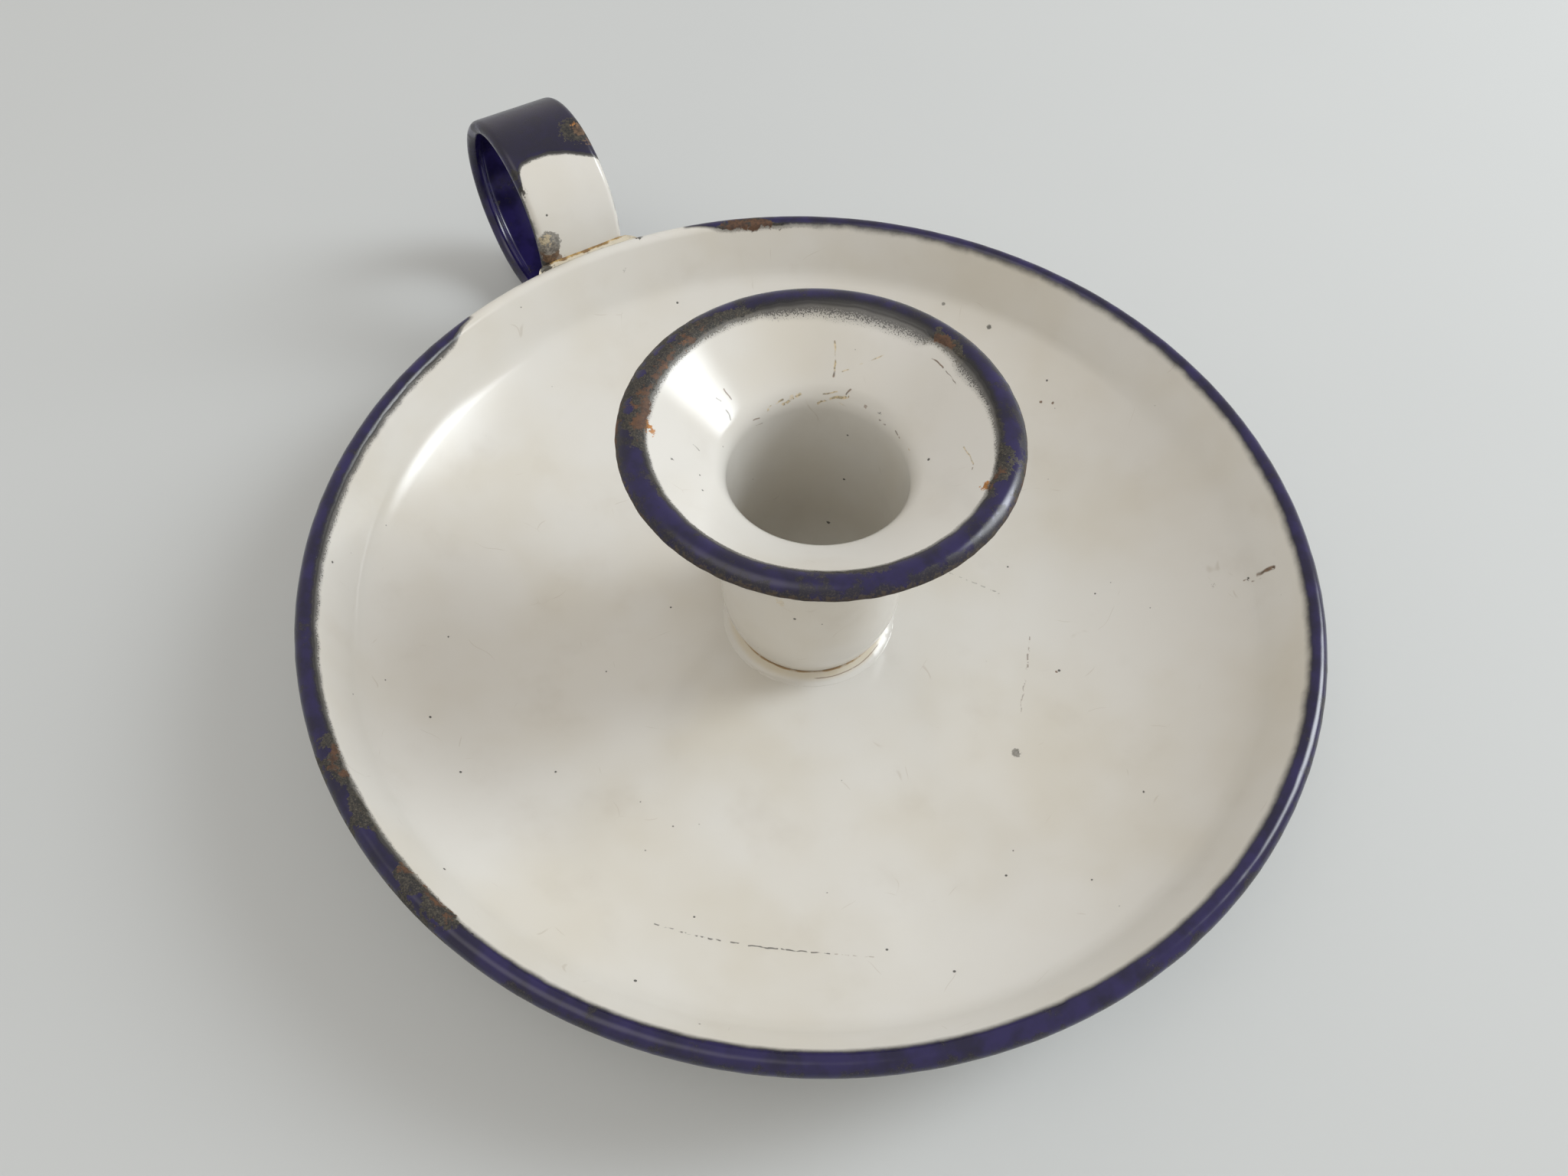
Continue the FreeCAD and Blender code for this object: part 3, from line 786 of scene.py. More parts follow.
    def run(self, name: str, rail: Sequence[Station], section: Sequence[Corner], wave: Wave,
            finish: bpy.types.Material) -> bpy.types.Object:
        """Sweep a closed section along a rail and keep the plain mesh.

        Args:
            name: The piece's name.
            rail: The stations, the last on the first where the rail is closed.
            section: The corners, the last on the first.
            wave: How far the surface strays.
            finish: The piece's material.

        Returns:
            The piece.
        """
        track = self.points("rail_points", [s.origin for s in rail], {
            "out": [s.out for s in rail], "side": [s.side for s in rail],
            "thick": [s.thick for s in rail], "flatten": [s.flatten for s in rail]})
        flats = [c.flat or c.place for c in section]
        shape = self.points("section_points", [(c.place[0], c.place[1], 0.0) for c in section], {
            "flat": [(f[0] * MM, f[1] * MM, 0.0) for f in flats], "fray": [c.fray for c in section]})
        modifier = shape.modifiers.new("sweep", "NODES")
        modifier.node_group = self.tree
        values = {"Rail": track, "Wave Height": wave.height * MM, "Wave Length": wave.length * MM,
                  "Fray Height": wave.fray * MM, "Fray Length": wave.fray_length * MM,
                  "Middle": wave.middle * MM, "Seed": wave.seed, "Weld": self.WELD, "Finish": finish}
        for title, value in values.items():
            modifier[self.sockets[title]] = value
        shape.update_tag()
        graph = bpy.context.evaluated_depsgraph_get()
        mesh = bpy.data.meshes.new_from_object(shape.evaluated_get(graph), depsgraph=graph)
        mesh.name = name
        shape.modifiers.remove(modifier)
        for helper in (shape, track):
            old = helper.data
            bpy.data.objects.remove(helper)
            bpy.data.meshes.remove(old)
        self.tidy(mesh, finish)
        return add_object(name, mesh)

    @staticmethod
    def points(name: str, places: Sequence[Triple], extra: dict[str, Sequence[Any]]) -> bpy.types.Object:
        """Make an object of loose points, with attributes; places are millimetres.

        Args:
            name: The object's name.
            places: Where its points are.
            extra: The values of each attribute.

        Returns:
            The object.
        """
        mesh = bpy.data.meshes.new(name)
        mesh.from_pydata([tuple(value * MM for value in place) for place in places], [], [])
        for title, values in extra.items():
            wide = isinstance(values[0], tuple)
            layer = mesh.attributes.new(title, "FLOAT_VECTOR" if wide else "FLOAT", "POINT")
            for item, value in zip(layer.data, values):
                if wide:
                    item.vector = value
                else:
                    item.value = value
        return add_object(name, mesh)

    @staticmethod
    def tidy(mesh: bpy.types.Mesh, finish: bpy.types.Material) -> None:
        """Drop folded faces, turn the normals outward and drop the helper attribute.

        Args:
            mesh: The mesh to clean.
            finish: The piece's material.
        """
        work = bmesh.new()
        work.from_mesh(mesh)
        bmesh.ops.dissolve_degenerate(work, edges=work.edges, dist=1.0e-7)
        bmesh.ops.recalc_face_normals(work, faces=work.faces)
        if work.calc_volume(signed=True) < 0.0:
            bmesh.ops.reverse_faces(work, faces=work.faces)
        work.to_mesh(mesh)
        work.free()
        fray = mesh.attributes.get("fray")
        if fray:
            mesh.attributes.remove(fray)
        if finish.name not in mesh.materials:
            mesh.materials.append(finish)


def add_object(name: str, data: Any) -> bpy.types.Object:
    """Make an object in the scene.

    Args:
        name: The object's name.
        data: Its mesh, lamp or camera.

    Returns:
        The object.
    """
    thing = bpy.data.objects.new(name, data)
    bpy.context.scene.collection.objects.link(thing)
    return thing


def aim(turn: float) -> Pair:
    """The way at a turn in radians."""
    return (math.cos(turn), math.sin(turn))


def along(start: Pair, way: Pair, reach: float) -> Pair:
    """The place that is reached from a start, one way."""
    return (start[0] + reach * way[0], start[1] + reach * way[1])


class Trace:
    """The face of a sheet in section, each point with the way that the face looks."""

    def __init__(self, side: float = 1.0) -> None:
        """Start with no points.

        Args:
            side: 1 where a straight run faces the left of its way, -1 where it faces the right.
        """
        self.side = side
        self.points: list[tuple[Pair, Pair, float]] = []

    def line(self, start: Pair, end: Pair, steps: int) -> None:
        """Add a straight run.

        Args:
            start: Where it starts.
            end: Where it ends.
            steps: How many steps it has.
        """
        reach = (end[0] - start[0], end[1] - start[1])
        length = math.hypot(*reach)
        face = (-reach[1] / length * self.side, reach[0] / length * self.side)
        for k in range(steps + 1):
            self.add(along(start, reach, k / steps), face)

    def arc(self, centre: Pair, radius: float, first: float, last: float, steps: int, hollow: bool,
            fray: float = 0.0) -> None:
        """Add an arc between two angles in degrees; a hollow one faces its centre.

        Args:
            centre: Its centre.
            radius: Its radius.
            first: The angle where it starts.
            last: The angle where it ends.
            steps: How many steps it has.
            hollow: Whether the face looks to the centre.
            fray: How much of the ragged edge it carries.
        """
        sign = -1.0 if hollow else 1.0
        for k in range(steps + 1):
            way = aim(math.radians(first + (last - first) * k / steps))
            self.add(along(centre, way, radius), (sign * way[0], sign * way[1]), fray)

    def add(self, place: Pair, way: Pair, fray: float = 0.0) -> None:
        """Add a point unless it repeats the last."""
        if not self.points or math.dist(self.points[-1][0], place) >= 1.0e-4:
            self.points.append((place, way, fray))

    def sheet(self, wall: float, rounding: int = 4) -> list[Corner]:
        """Close the face with its other side and a rounded end.

        Args:
            wall: The sheet's thickness.
            rounding: How many steps the open edge is rounded in.

        Returns:
            The section, from the axis along the lower side and back on the upper.
        """
        lower = [Corner(along(place, way, -wall), None, fray) for place, way, fray in self.points]
        upper = [Corner(place, None, fray) for place, _, fray in reversed(self.points)]
        place, way, fray = self.points[-1]
        ends = []
        for k in range(1, rounding):
            rise, reach = aim(math.pi * k / rounding)
            spot = along(place, way, -wall / 2 * (1.0 + rise))
            ends.append(Corner(along(spot, (way[1], -way[0]), reach * wall / 2 * 0.6), None, fray))
        return lower + ends + upper + [lower[0]]


# The part


@dataclass(frozen=True)
class Piece:
    """A piece of the part: a section that is swept along a rail and dressed."""

    name: str = ""
    node: str = ""
    slot: str = "enamelled_steel"
    wave: Wave = Wave()
    round_steps: int = 300

    def rail(self) -> list[Station]:
        """Follow a turn round the upright axis."""
        steps = self.round_steps
        turns = (math.tau * (k % steps) / steps for k in range(steps + 1))
        return [Station(ZERO, (*aim(turn), 0.0), (0.0, 0.0, 1.0)) for turn in turns]

    def section(self) -> list[Corner]:
        """The piece cut through, which each kind of piece traces."""
        raise NotImplementedError

    def finish(self, box: Paintbox) -> bpy.types.Material:
        """The piece's material, which each kind of piece dresses."""
        raise NotImplementedError

    def build(self, box: Paintbox, sweep: Sweep) -> None:
        """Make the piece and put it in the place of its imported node.

        Args:
            box: The shared groups and colours.
            sweep: What sweeps a section along a rail.
        """
        piece = sweep.run(self.name, self.rail(), self.section(), self.wave, self.finish(box))
        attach(piece, BODY)
        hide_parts(self.node)
        LOG.info("%s: %d faces", piece.name, len(piece.data.polygons))


@dataclass(frozen=True)
class Dish(Piece):
    """The pressed dish with its blue rim."""

    name: str = "dish_shell"
    node: str = "dish"
    wave: Wave = Wave(height=0.07, length=30.0, fray=0.07, fray_length=2.5, seed=3.0)
    round_steps: int = 480
    radius: float = 72.0
    wall: float = 1.1
    floor_radius: float = 32.0
    crease_height: float = 11.4
    crease_round: float = 7.0
    flange_reach: float = 6.5
    rim_height: float = 19.0
    bead: float = 1.5
    curl_share: float = 0.6
    border: float = 69.25
    gap_middle: float = 2.3
    gap_half: float = 16.8
    taper: float = 7.0
    under_rim: float = 0.9
    wear_reach: float = 2.6
    states: tuple[RimState, ...] = rim_states(
        (-180, 0.00, 0.05, 0.06), (-120, 0.00, 0.10, 0.05), (-85, 0.00, 0.10, 0.05),
        (-62, 0.00, 0.10, 0.05), (-40, 0.00, 0.16, 0.07), (-29, 0.20, 0.30, 0.12),
        (-27, 0.95, 0.85, 0.15), (-20.5, 0.95, 0.85, 0.15), (-18.5, 0.10, 0.20, 0.10),
        (-14, 0.00, 0.05, 0.04), (18, 0.00, 0.10, 0.08), (24, 0.05, 0.25, 0.20),
        (45, 0.05, 0.30, 0.24), (70, 0.10, 0.32, 0.22), (84, 0.25, 0.35, 0.18),
        (86, 0.55, 1.00, 0.20), (90, 0.85, 1.00, 0.20), (91.2, 0.15, 0.25, 0.25),
        (92.6, 0.20, 0.90, 0.25), (96.4, 0.85, 0.95, 0.20), (97.6, 0.15, 0.22, 0.25),
        (101.4, 0.15, 0.25, 0.25), (102.6, 0.80, 0.95, 0.20), (106, 0.50, 1.00, 0.20),
        (110.2, 0.90, 0.95, 0.15), (111.6, 0.05, 0.10, 0.08), (150, 0.00, 0.08, 0.06),
        (180, 0.00, 0.05, 0.06))
    specks: tuple[Speck, ...] = (
        Speck((-36.5, -12.4, 1.5), 0.72, Tint.GREY, 0.30, 0.85), Speck((-20.2, 35.4, 1.8), 0.18),
        Speck((-39.6, 22.8, 2.8), 0.17), Speck((-51.8, -21.3, 6.7), 0.20), Speck((-4.8, 45.8, 2.9), 0.16),
        Speck((21.8, 49.9, 5.9), 0.22), Speck((-29.0, -26.1, 1.5), 0.22, Tint.BROWN),
        Speck((37.0, -52.3, 11.4), 0.35, Tint.GREY), Speck((28.5, -56.2, 10.8), 0.42, Tint.GREY),
        Speck((12.1, -55.5, 7.1), 0.28, Tint.BROWN), Speck((10.7, -56.8, 7.6), 0.30, Tint.BROWN),
        Speck((67.6, -4.9, 17.3), 0.34, Tint.GREY, 0.3, 0.55),
        Speck((-8.6, 9.5, 1.7), 0.42, Tint.GREY, 0.5, 0.6),
        Speck((-35.2, -54.6, 12.6), 0.30, Tint.DARK, 0.3),
        Speck((-32.4, -51.7, 9.4), 0.32, Tint.GREY, 0.6, 0.5),
        Speck((70.3, -9.6, 20.3), 0.50, Tint.DARK, 0.5, 0.9))
    scratches: tuple[Scratch, ...] = (
        Scratch((-31.8, 44.9, 6.2), (-35.6, 41.5, 6.0), 0.12, Tint.DARK, 0.46, 0.75),
        Scratch((-35.6, 41.5, 6.0), (-39.7, 37.1, 5.8), 0.11, Tint.DARK, 0.42, 0.8),
        Scratch((-39.7, 37.1, 5.8), (-44.0, 31.8, 5.8), 0.11, Tint.DARK, 0.40, 0.8),
        Scratch((-44.0, 31.8, 5.8), (-47.3, 27.6, 6.0), 0.10, Tint.DARK, 0.38, 0.8),
        Scratch((-47.3, 27.6, 6.0), (-50.5, 23.4, 6.4), 0.07, Tint.BROWN, 0.48, 0.5),
        Scratch((-21.7, -27.0, 1.2), (-26.2, -22.6, 1.15), 0.14, Tint.BROWN, 0.44, 0.6),
        Scratch((-26.2, -22.6, 1.15), (-31.5, -17.2, 1.2), 0.10, Tint.BROWN, 0.52, 0.5),
        Scratch((-5.6, -23.5, 1.1), (-12.9, -27.8, 1.1), 0.12, Tint.GREY, 0.52, 0.6),
        Scratch((-35.1, -54.4, 12.2), (-35.8, -55.2, 13.9), 0.16, Tint.BROWN, 0.30, 0.85),
        Scratch((-35.9, -55.3, 14.0), (-36.9, -56.3, 16.5), 0.40, Tint.BROWN, 0.34, 0.95),
        Scratch((-36.0, -54.6, 13.2), (-36.6, -55.0, 14.3), 0.22, Tint.BROWN, 0.34, 0.8),
        Scratch((-34.2, -55.6, 13.0), (-34.7, -56.0, 14.0), 0.12, Tint.BROWN, 0.34, 0.7),
        Scratch((-17.5, -63.2, 13.6), (-24.2, -60.7, 13.2), 0.14, Tint.GREY, 0.48, 0.7),
        Scratch((-24.2, -60.7, 13.2), (-31.2, -57.6, 13.4), 0.14, Tint.GREY, 0.48, 0.7))

    def wall_radius(self) -> float:
        """The radius of the hollow wall between the floor's edge and the crease.

        Returns:
            The radius in millimetres.
        """
        rise = self.crease_height - self.wall
        run = self.radius - self.bead - self.flange_reach - self.floor_radius
        return (run * run + rise * rise) / (2.0 * rise)

    def section(self) -> list[Corner]:
        """Trace the sheet from the axis to the end of its curl.

        Returns:
            The corners, the last on the first.
        """
        rim = self.radius - self.bead
        crease = rim - self.flange_reach
        sweep = self.wall_radius()
        end = math.asin((crease - self.floor_radius) / sweep)
        bend = along((crease, self.crease_height), (-math.sin(end), math.cos(end)), self.crease_round)
        gap = (rim - bend[0], self.rim_height - bend[1])
        slope = math.atan2(gap[1], gap[0]) + math.asin((self.crease_round + self.bead) / math.hypot(*gap))
        way = (math.sin(slope), -math.cos(slope))
        first, last = math.degrees(end) - 90.0, math.degrees(slope)
        trace = Trace()
        trace.line((0.0, self.wall), (self.floor_radius, self.wall), steps=16)
        trace.arc((self.floor_radius, self.wall + sweep), sweep, -90.0, first, steps=26, hollow=True)
        trace.arc(bend, self.crease_round, first, last - 90.0, steps=10, hollow=True)
        trace.line(along(bend, way, self.crease_round), along((rim, self.rim_height), way, -self.bead),
                   steps=6)
        lap = -math.degrees(math.acos(-self.curl_share))
        trace.arc((rim, self.rim_height), self.bead, last + 90.0, lap, steps=32, hollow=False, fray=1.0)
        return trace.sheet(self.wall)

    def finish(self, box: Paintbox) -> bpy.types.Material:
        """Dress the dish: white ground, blue rim with its gap, wear, marks and painted shade on the bead's
        outer side.

        Args:
            box: The shared groups and colours.

        Returns:
            The piece's material.
        """
        work = Finish("dish_enamel", box)
        wire = work.wire
        under = wire.minus(self.rim_height - self.under_rim, work.level)
        edge = wire.most(wire.minus(self.border, work.radius), under)
        turn = wire.calc("ABSOLUTE", wire.minus(work.angle, self.gap_middle))
        gap = wire.times(wire.minus(self.gap_half, turn), self.radius * math.pi / 180.0)
        near = wire.step(gap, -self.taper, 0.0)
        edge = wire.calc("SMOOTH_MAX", wire.linear(near, 1.3, edge), gap, 1.0)
        work.marks(self.specks, self.scratches)
        self.rub(work)
        # Painted shade: the outermost millimetre of the bead is darkened through the rim's tarnish input,
        # for the shade and dark reflections on that side.
        outer = wire.times(wire.step(work.radius, self.radius - 1.0, self.radius - 0.1), 0.14)
        work.rim(edge, work.rim_line(self.states), self.wear_reach, outer)
        return work.close()

    def rub(self, work: Finish) -> None:
        """Rub the enamel grey where the floor has stood on tables.

        Args:
            work: The finish that the rubbed places are laid on.
        """
        wire = work.wire
        ring = wire.step(work.radius, self.floor_radius - 9.0, self.floor_radius - 1.0)
        touched = wire.times(wire.fall(work.level, 0.10, 0.45), ring)
        scuffs = wire.noise(work.point, 3.2, detail=5.0, seed=51.0, rough=0.7)
        mask = wire.times(touched, wire.step(scuffs, 0.44, 0.74))
        work.layer(wire.times(mask, 0.65), work.box.enamel.ash, 0.5)
        chipped = wire.times(touched, wire.step(scuffs, 0.66, 0.70))
        work.layer(chipped, wire.use(work.box.rust, Point=work.point, Fresh=0.3), work.box.enamel.dull)


@dataclass(frozen=True)
class CandleSocket(Piece):
    """The drawn cup with its funnel and blue lip."""

    name: str = "socket_cup"
    node: str = "candle_socket"
    wave: Wave = Wave(height=0.05, length=22.0, fray=0.13, fray_length=1.8, seed=7.0)
    round_steps: int = 420
    base: float = 1.1
    wall: float = 1.3
    floor_radius: float = 9.5
    corner: float = 0.8
    belly_top: float = 11.0
    bore: float = 12.2
    throat_height: float = 34.0
    throat: float = 4.6
    funnel_rise: float = 38.0
    lip_roll: float = 2.5
    lip_radius: float = 25.9
    lip_share: float = 0.82
    border: float = 22.25
    outer_border: float = 42.2
    wear_reach: float = 3.1
    dull_from: float = 24.2
    dull_to: float = 25.7
    bare_from: float = 24.7
    bare_to: float = 25.1
    bare_height: float = 42.65
    states: tuple[RimState, ...] = rim_states(
        (-180, 0.00, 0.30, 0.15), (-160, 0.00, 0.12, 0.10), (-148, 0.55, 0.55, 0.15),
        (-143, 0.75, 0.75, 0.15), (-136, 0.45, 0.95, 0.20), (-128, 0.15, 0.40, 0.35),
        (-118, 0.35, 0.45, 0.35), (-108, 0.05, 0.30, 0.50), (-92, 0.10, 0.30, 0.75),
        (-87, 0.70, 0.65, 0.50), (-77, 0.95, 0.75, 0.40), (-72, 0.10, 0.30, 0.95),
        (-40, 0.00, 0.22, 1.00), (-16, 0.00, 0.22, 0.75), (-10, 0.25, 0.45, 0.50),
        (0, 0.50, 0.80, 0.45), (12, 0.80, 0.95, 0.40), (30, 0.75, 1.00, 0.40),
        (48, 0.85, 1.00, 0.35), (60, 1.00, 0.95, 0.25), (67, 0.70, 0.70, 0.20),
        (71, 0.10, 0.28, 0.25), (86, 0.30, 0.50, 0.25), (97, 0.05, 0.22, 0.20),
        (125, 0.00, 0.18, 0.15), (147, 0.15, 0.45, 0.15), (160, 0.05, 0.50, 0.15),
        (180, 0.00, 0.30, 0.15))
    specks: tuple[Speck, ...] = (
        Speck((6.9, 17.9, 41.7), 0.22, Tint.DARK, 0.2), Speck((8.3, -8.9, 8.9), 0.30, Tint.DARK, 0.2),
        Speck((-8.2, 10.7, 22.9), 0.55, Tint.WAX, 0.8, 0.35),
        Speck((12.3, -3.6, 36.2), 0.40, Tint.WAX, 0.8, 0.5),
        Speck((5.8, -11.4, 36.2), 0.22, Tint.BROWN, 0.4, 0.6),
        Speck((3.6, -12.5, 36.2), 0.22, Tint.DARK, 0.3, 0.7), Speck((-9.6, 21.4, 44.6), 0.16, Tint.GREY),
        Speck((-12.9, 20.2, 44.7), 0.16, Tint.GREY), Speck((-16.6, 16.5, 44.6), 0.15, Tint.GREY),
        Speck((-18.1, 15.0, 44.6), 0.15, Tint.GREY), Speck((11.9, 18.9, 43.9), 0.90, Tint.RUST, 0.8, 1.0),
        Speck((11.0, 18.5, 43.3), 0.50, Tint.RUST, 0.7, 0.9),
        Speck((-18.2, -12.0, 43.8), 0.65, Tint.RUST, 0.7, 1.0), Speck((17.2, 5.8, 41.2), 0.15))
    scratches: tuple[Scratch, ...] = (
        Scratch((14.3, -11.7, 41.1), (11.5, -10.1, 38.6), 0.16, Tint.WAX, 0.30, 0.95),
        Scratch((11.5, -10.1, 38.6), (11.1, -9.6, 38.2), 0.18, Tint.BROWN, 0.25, 0.8),
        Scratch((11.1, -9.9, 38.3), (8.8, -16.0, 40.9), 0.07, Tint.WAX, 0.40, 0.8),
        Scratch((3.6, -20.1, 42.6), (1.5, -20.3, 42.6), 0.14, Tint.BROWN, 0.28, 0.85),
        Scratch((1.5, -20.3, 42.6), (-1.8, -20.1, 42.5), 0.07, Tint.BROWN, 0.42, 0.7),
        Scratch((15.6, 5.1, 39.5), (14.3, 4.7, 38.5), 0.11, Tint.BROWN, 0.32, 0.75),
        Scratch((14.9, 6.8, 39.5), (14.4, 6.4, 39.0), 0.12, Tint.GREY, 0.30, 0.75),
        Scratch((13.3, 6.2, 38.2), (12.2, 6.1, 37.4), 0.12, Tint.GREY, 0.32, 0.7),
        Scratch((12.5, 0.5, 35.7), (12.6, -2.2, 36.3), 0.16, Tint.WAX, 0.40, 0.9),
        Scratch((12.3, -2.2, 35.7), (12.0, -4.8, 36.4), 0.22, Tint.WAX, 0.40, 0.9),
        Scratch((12.6, -1.0, 36.6), (12.4, -3.4, 36.9), 0.10, Tint.WAX, 0.42, 0.9),
        Scratch((10.4, -6.7, 35.1), (9.6, -8.2, 35.9), 0.20, Tint.WAX, 0.36, 0.95),
        Scratch((9.6, -8.2, 35.8), (8.1, -10.2, 36.6), 0.24, Tint.WAX, 0.34, 0.95),
        Scratch((8.9, -8.9, 35.7), (7.7, -9.7, 35.2), 0.12, Tint.WAX, 0.34, 0.9),
        Scratch((8.5, -10.1, 36.8), (8.5, -10.7, 37.4), 0.12, Tint.BROWN, 0.30, 0.8),
        Scratch((10.6, -7.6, 36.4), (9.4, -9.2, 36.8), 0.10, Tint.WAX, 0.36, 0.9),
        Scratch((12.2, 2.5, 35.4), (12.3, 1.6, 35.2), 0.09, Tint.BROWN, 0.34, 0.7),
        Scratch((12.0, 2.3, 34.2), (12.1, 1.2, 34.0), 0.08, Tint.BROWN, 0.34, 0.6),
        Scratch((9.3, 13.5, 39.5), (8.5, 13.0, 38.9), 0.09, Tint.GREY, 0.30, 0.75),
        Scratch((3.3, -12.0, 35.5), (2.1, -12.3, 35.5), 0.10, Tint.BROWN, 0.40, 0.7),
        Scratch((0.1, -12.6, 35.8), (-0.9, -12.4, 35.5), 0.12, Tint.BROWN, 0.40, 0.7),
        Scratch((-2.8, -12.3, 36.0), (-4.0, -12.0, 36.0), 0.08, Tint.WAX, 0.38, 0.8),
        Scratch((-10.2, -15.3, 41.0), (-13.6, -14.1, 42.0), 0.08, Tint.WAX, 0.34, 0.8),
        Scratch((-13.6, -14.1, 42.0), (-14.2, -13.2, 41.9), 0.09, Tint.BROWN, 0.34, 0.7))

    def section(self) -> list[Corner]:
        """Trace the cup's inner face from the axis up to the turned lip.

        Returns:
            The corners, the last on the first.
        """
        inside = self.base + self.wall
        nook = (self.floor_radius, inside + self.corner)
        shift, tall = self.bore - self.floor_radius, self.belly_top - nook[1]
        belly = (shift ** 2 + tall ** 2 - self.corner ** 2) / (2.0 * (shift - self.corner))
        belly_centre = (self.bore - belly, self.belly_top)
        meet = math.degrees(math.atan2(nook[1] - belly_centre[1], nook[0] - belly_centre[0]))
        throat_centre = (self.bore + self.throat, self.throat_height)
        lift = 90.0 + self.funnel_rise
        way = aim(math.radians(lift))
        start = along(throat_centre, way, self.throat)
        lip_across = self.lip_radius - self.lip_roll * self.lip_share
        end_across = lip_across + self.lip_roll * way[0]
        end = (end_across, start[1] + (end_across - start[0]) * math.tan(math.radians(self.funnel_rise)))
        lip_centre = (lip_across, end[1] - self.lip_roll * way[1])
        trace = Trace()
        trace.line((0.0, inside), (self.floor_radius, inside), steps=6)
        trace.arc(nook, self.corner, -90.0, meet, steps=4, hollow=True)
        trace.arc(belly_centre, belly, meet, 0.0, steps=8, hollow=True)
        trace.line((self.bore, self.belly_top), (self.bore, self.throat_height), steps=8)
        trace.arc(throat_centre, self.throat, 180.0, lift, steps=10, hollow=False)
        trace.line(start, end, steps=10)
        trace.arc(lip_centre, self.lip_roll, lift, math.degrees(math.acos(self.lip_share)), steps=16,
                  hollow=False)
        for back, fray in ((-1, 1.0), (-2, 0.6), (-3, 0.3)):
            trace.points[back] = (*trace.points[back][:2], fray)
        return trace.sheet(self.wall, 8)

    def finish(self, box: Paintbox) -> bpy.types.Material:
        """Dress the cup: white ground, marks, blue lip with its wear and its bare edge.

        Args:
            box: The shared groups and colours.

        Returns:
            The piece's material.
        """
        work = Finish("socket_enamel", box)
        wire, enamel = work.wire, box.enamel
        state = work.rim_line(self.states)
        edge = wire.most(wire.minus(self.border, work.radius), wire.minus(self.outer_border, work.level))
        work.marks(self.specks, self.scratches)
        outer = wire.times(wire.step(work.radius, self.dull_from, self.dull_to), 0.16)
        bare = wire.step(work.radius, self.bare_from, self.bare_to)
        work.rim(edge, state, self.wear_reach, wire.total(outer, 0.05))
        low = wire.minus(wire.linear(work.shake, 2.2, self.bare_height), work.level)
        rim = wire.times(wire.step(low, -0.15, 0.15), bare)
        tone = wire.use(box.rust, Point=work.point, Fresh=wire.times(state[0], 0.5))
        dark = wire.mix(wire.step(work.shake, 0.42, 0.62), enamel.soot, enamel.olive)
        tone = wire.mix(wire.linear(state[0], 0.75, 0.20), dark, tone)
        work.layer(wire.times(rim, 0.85), tone, enamel.dull)
        return work.close()


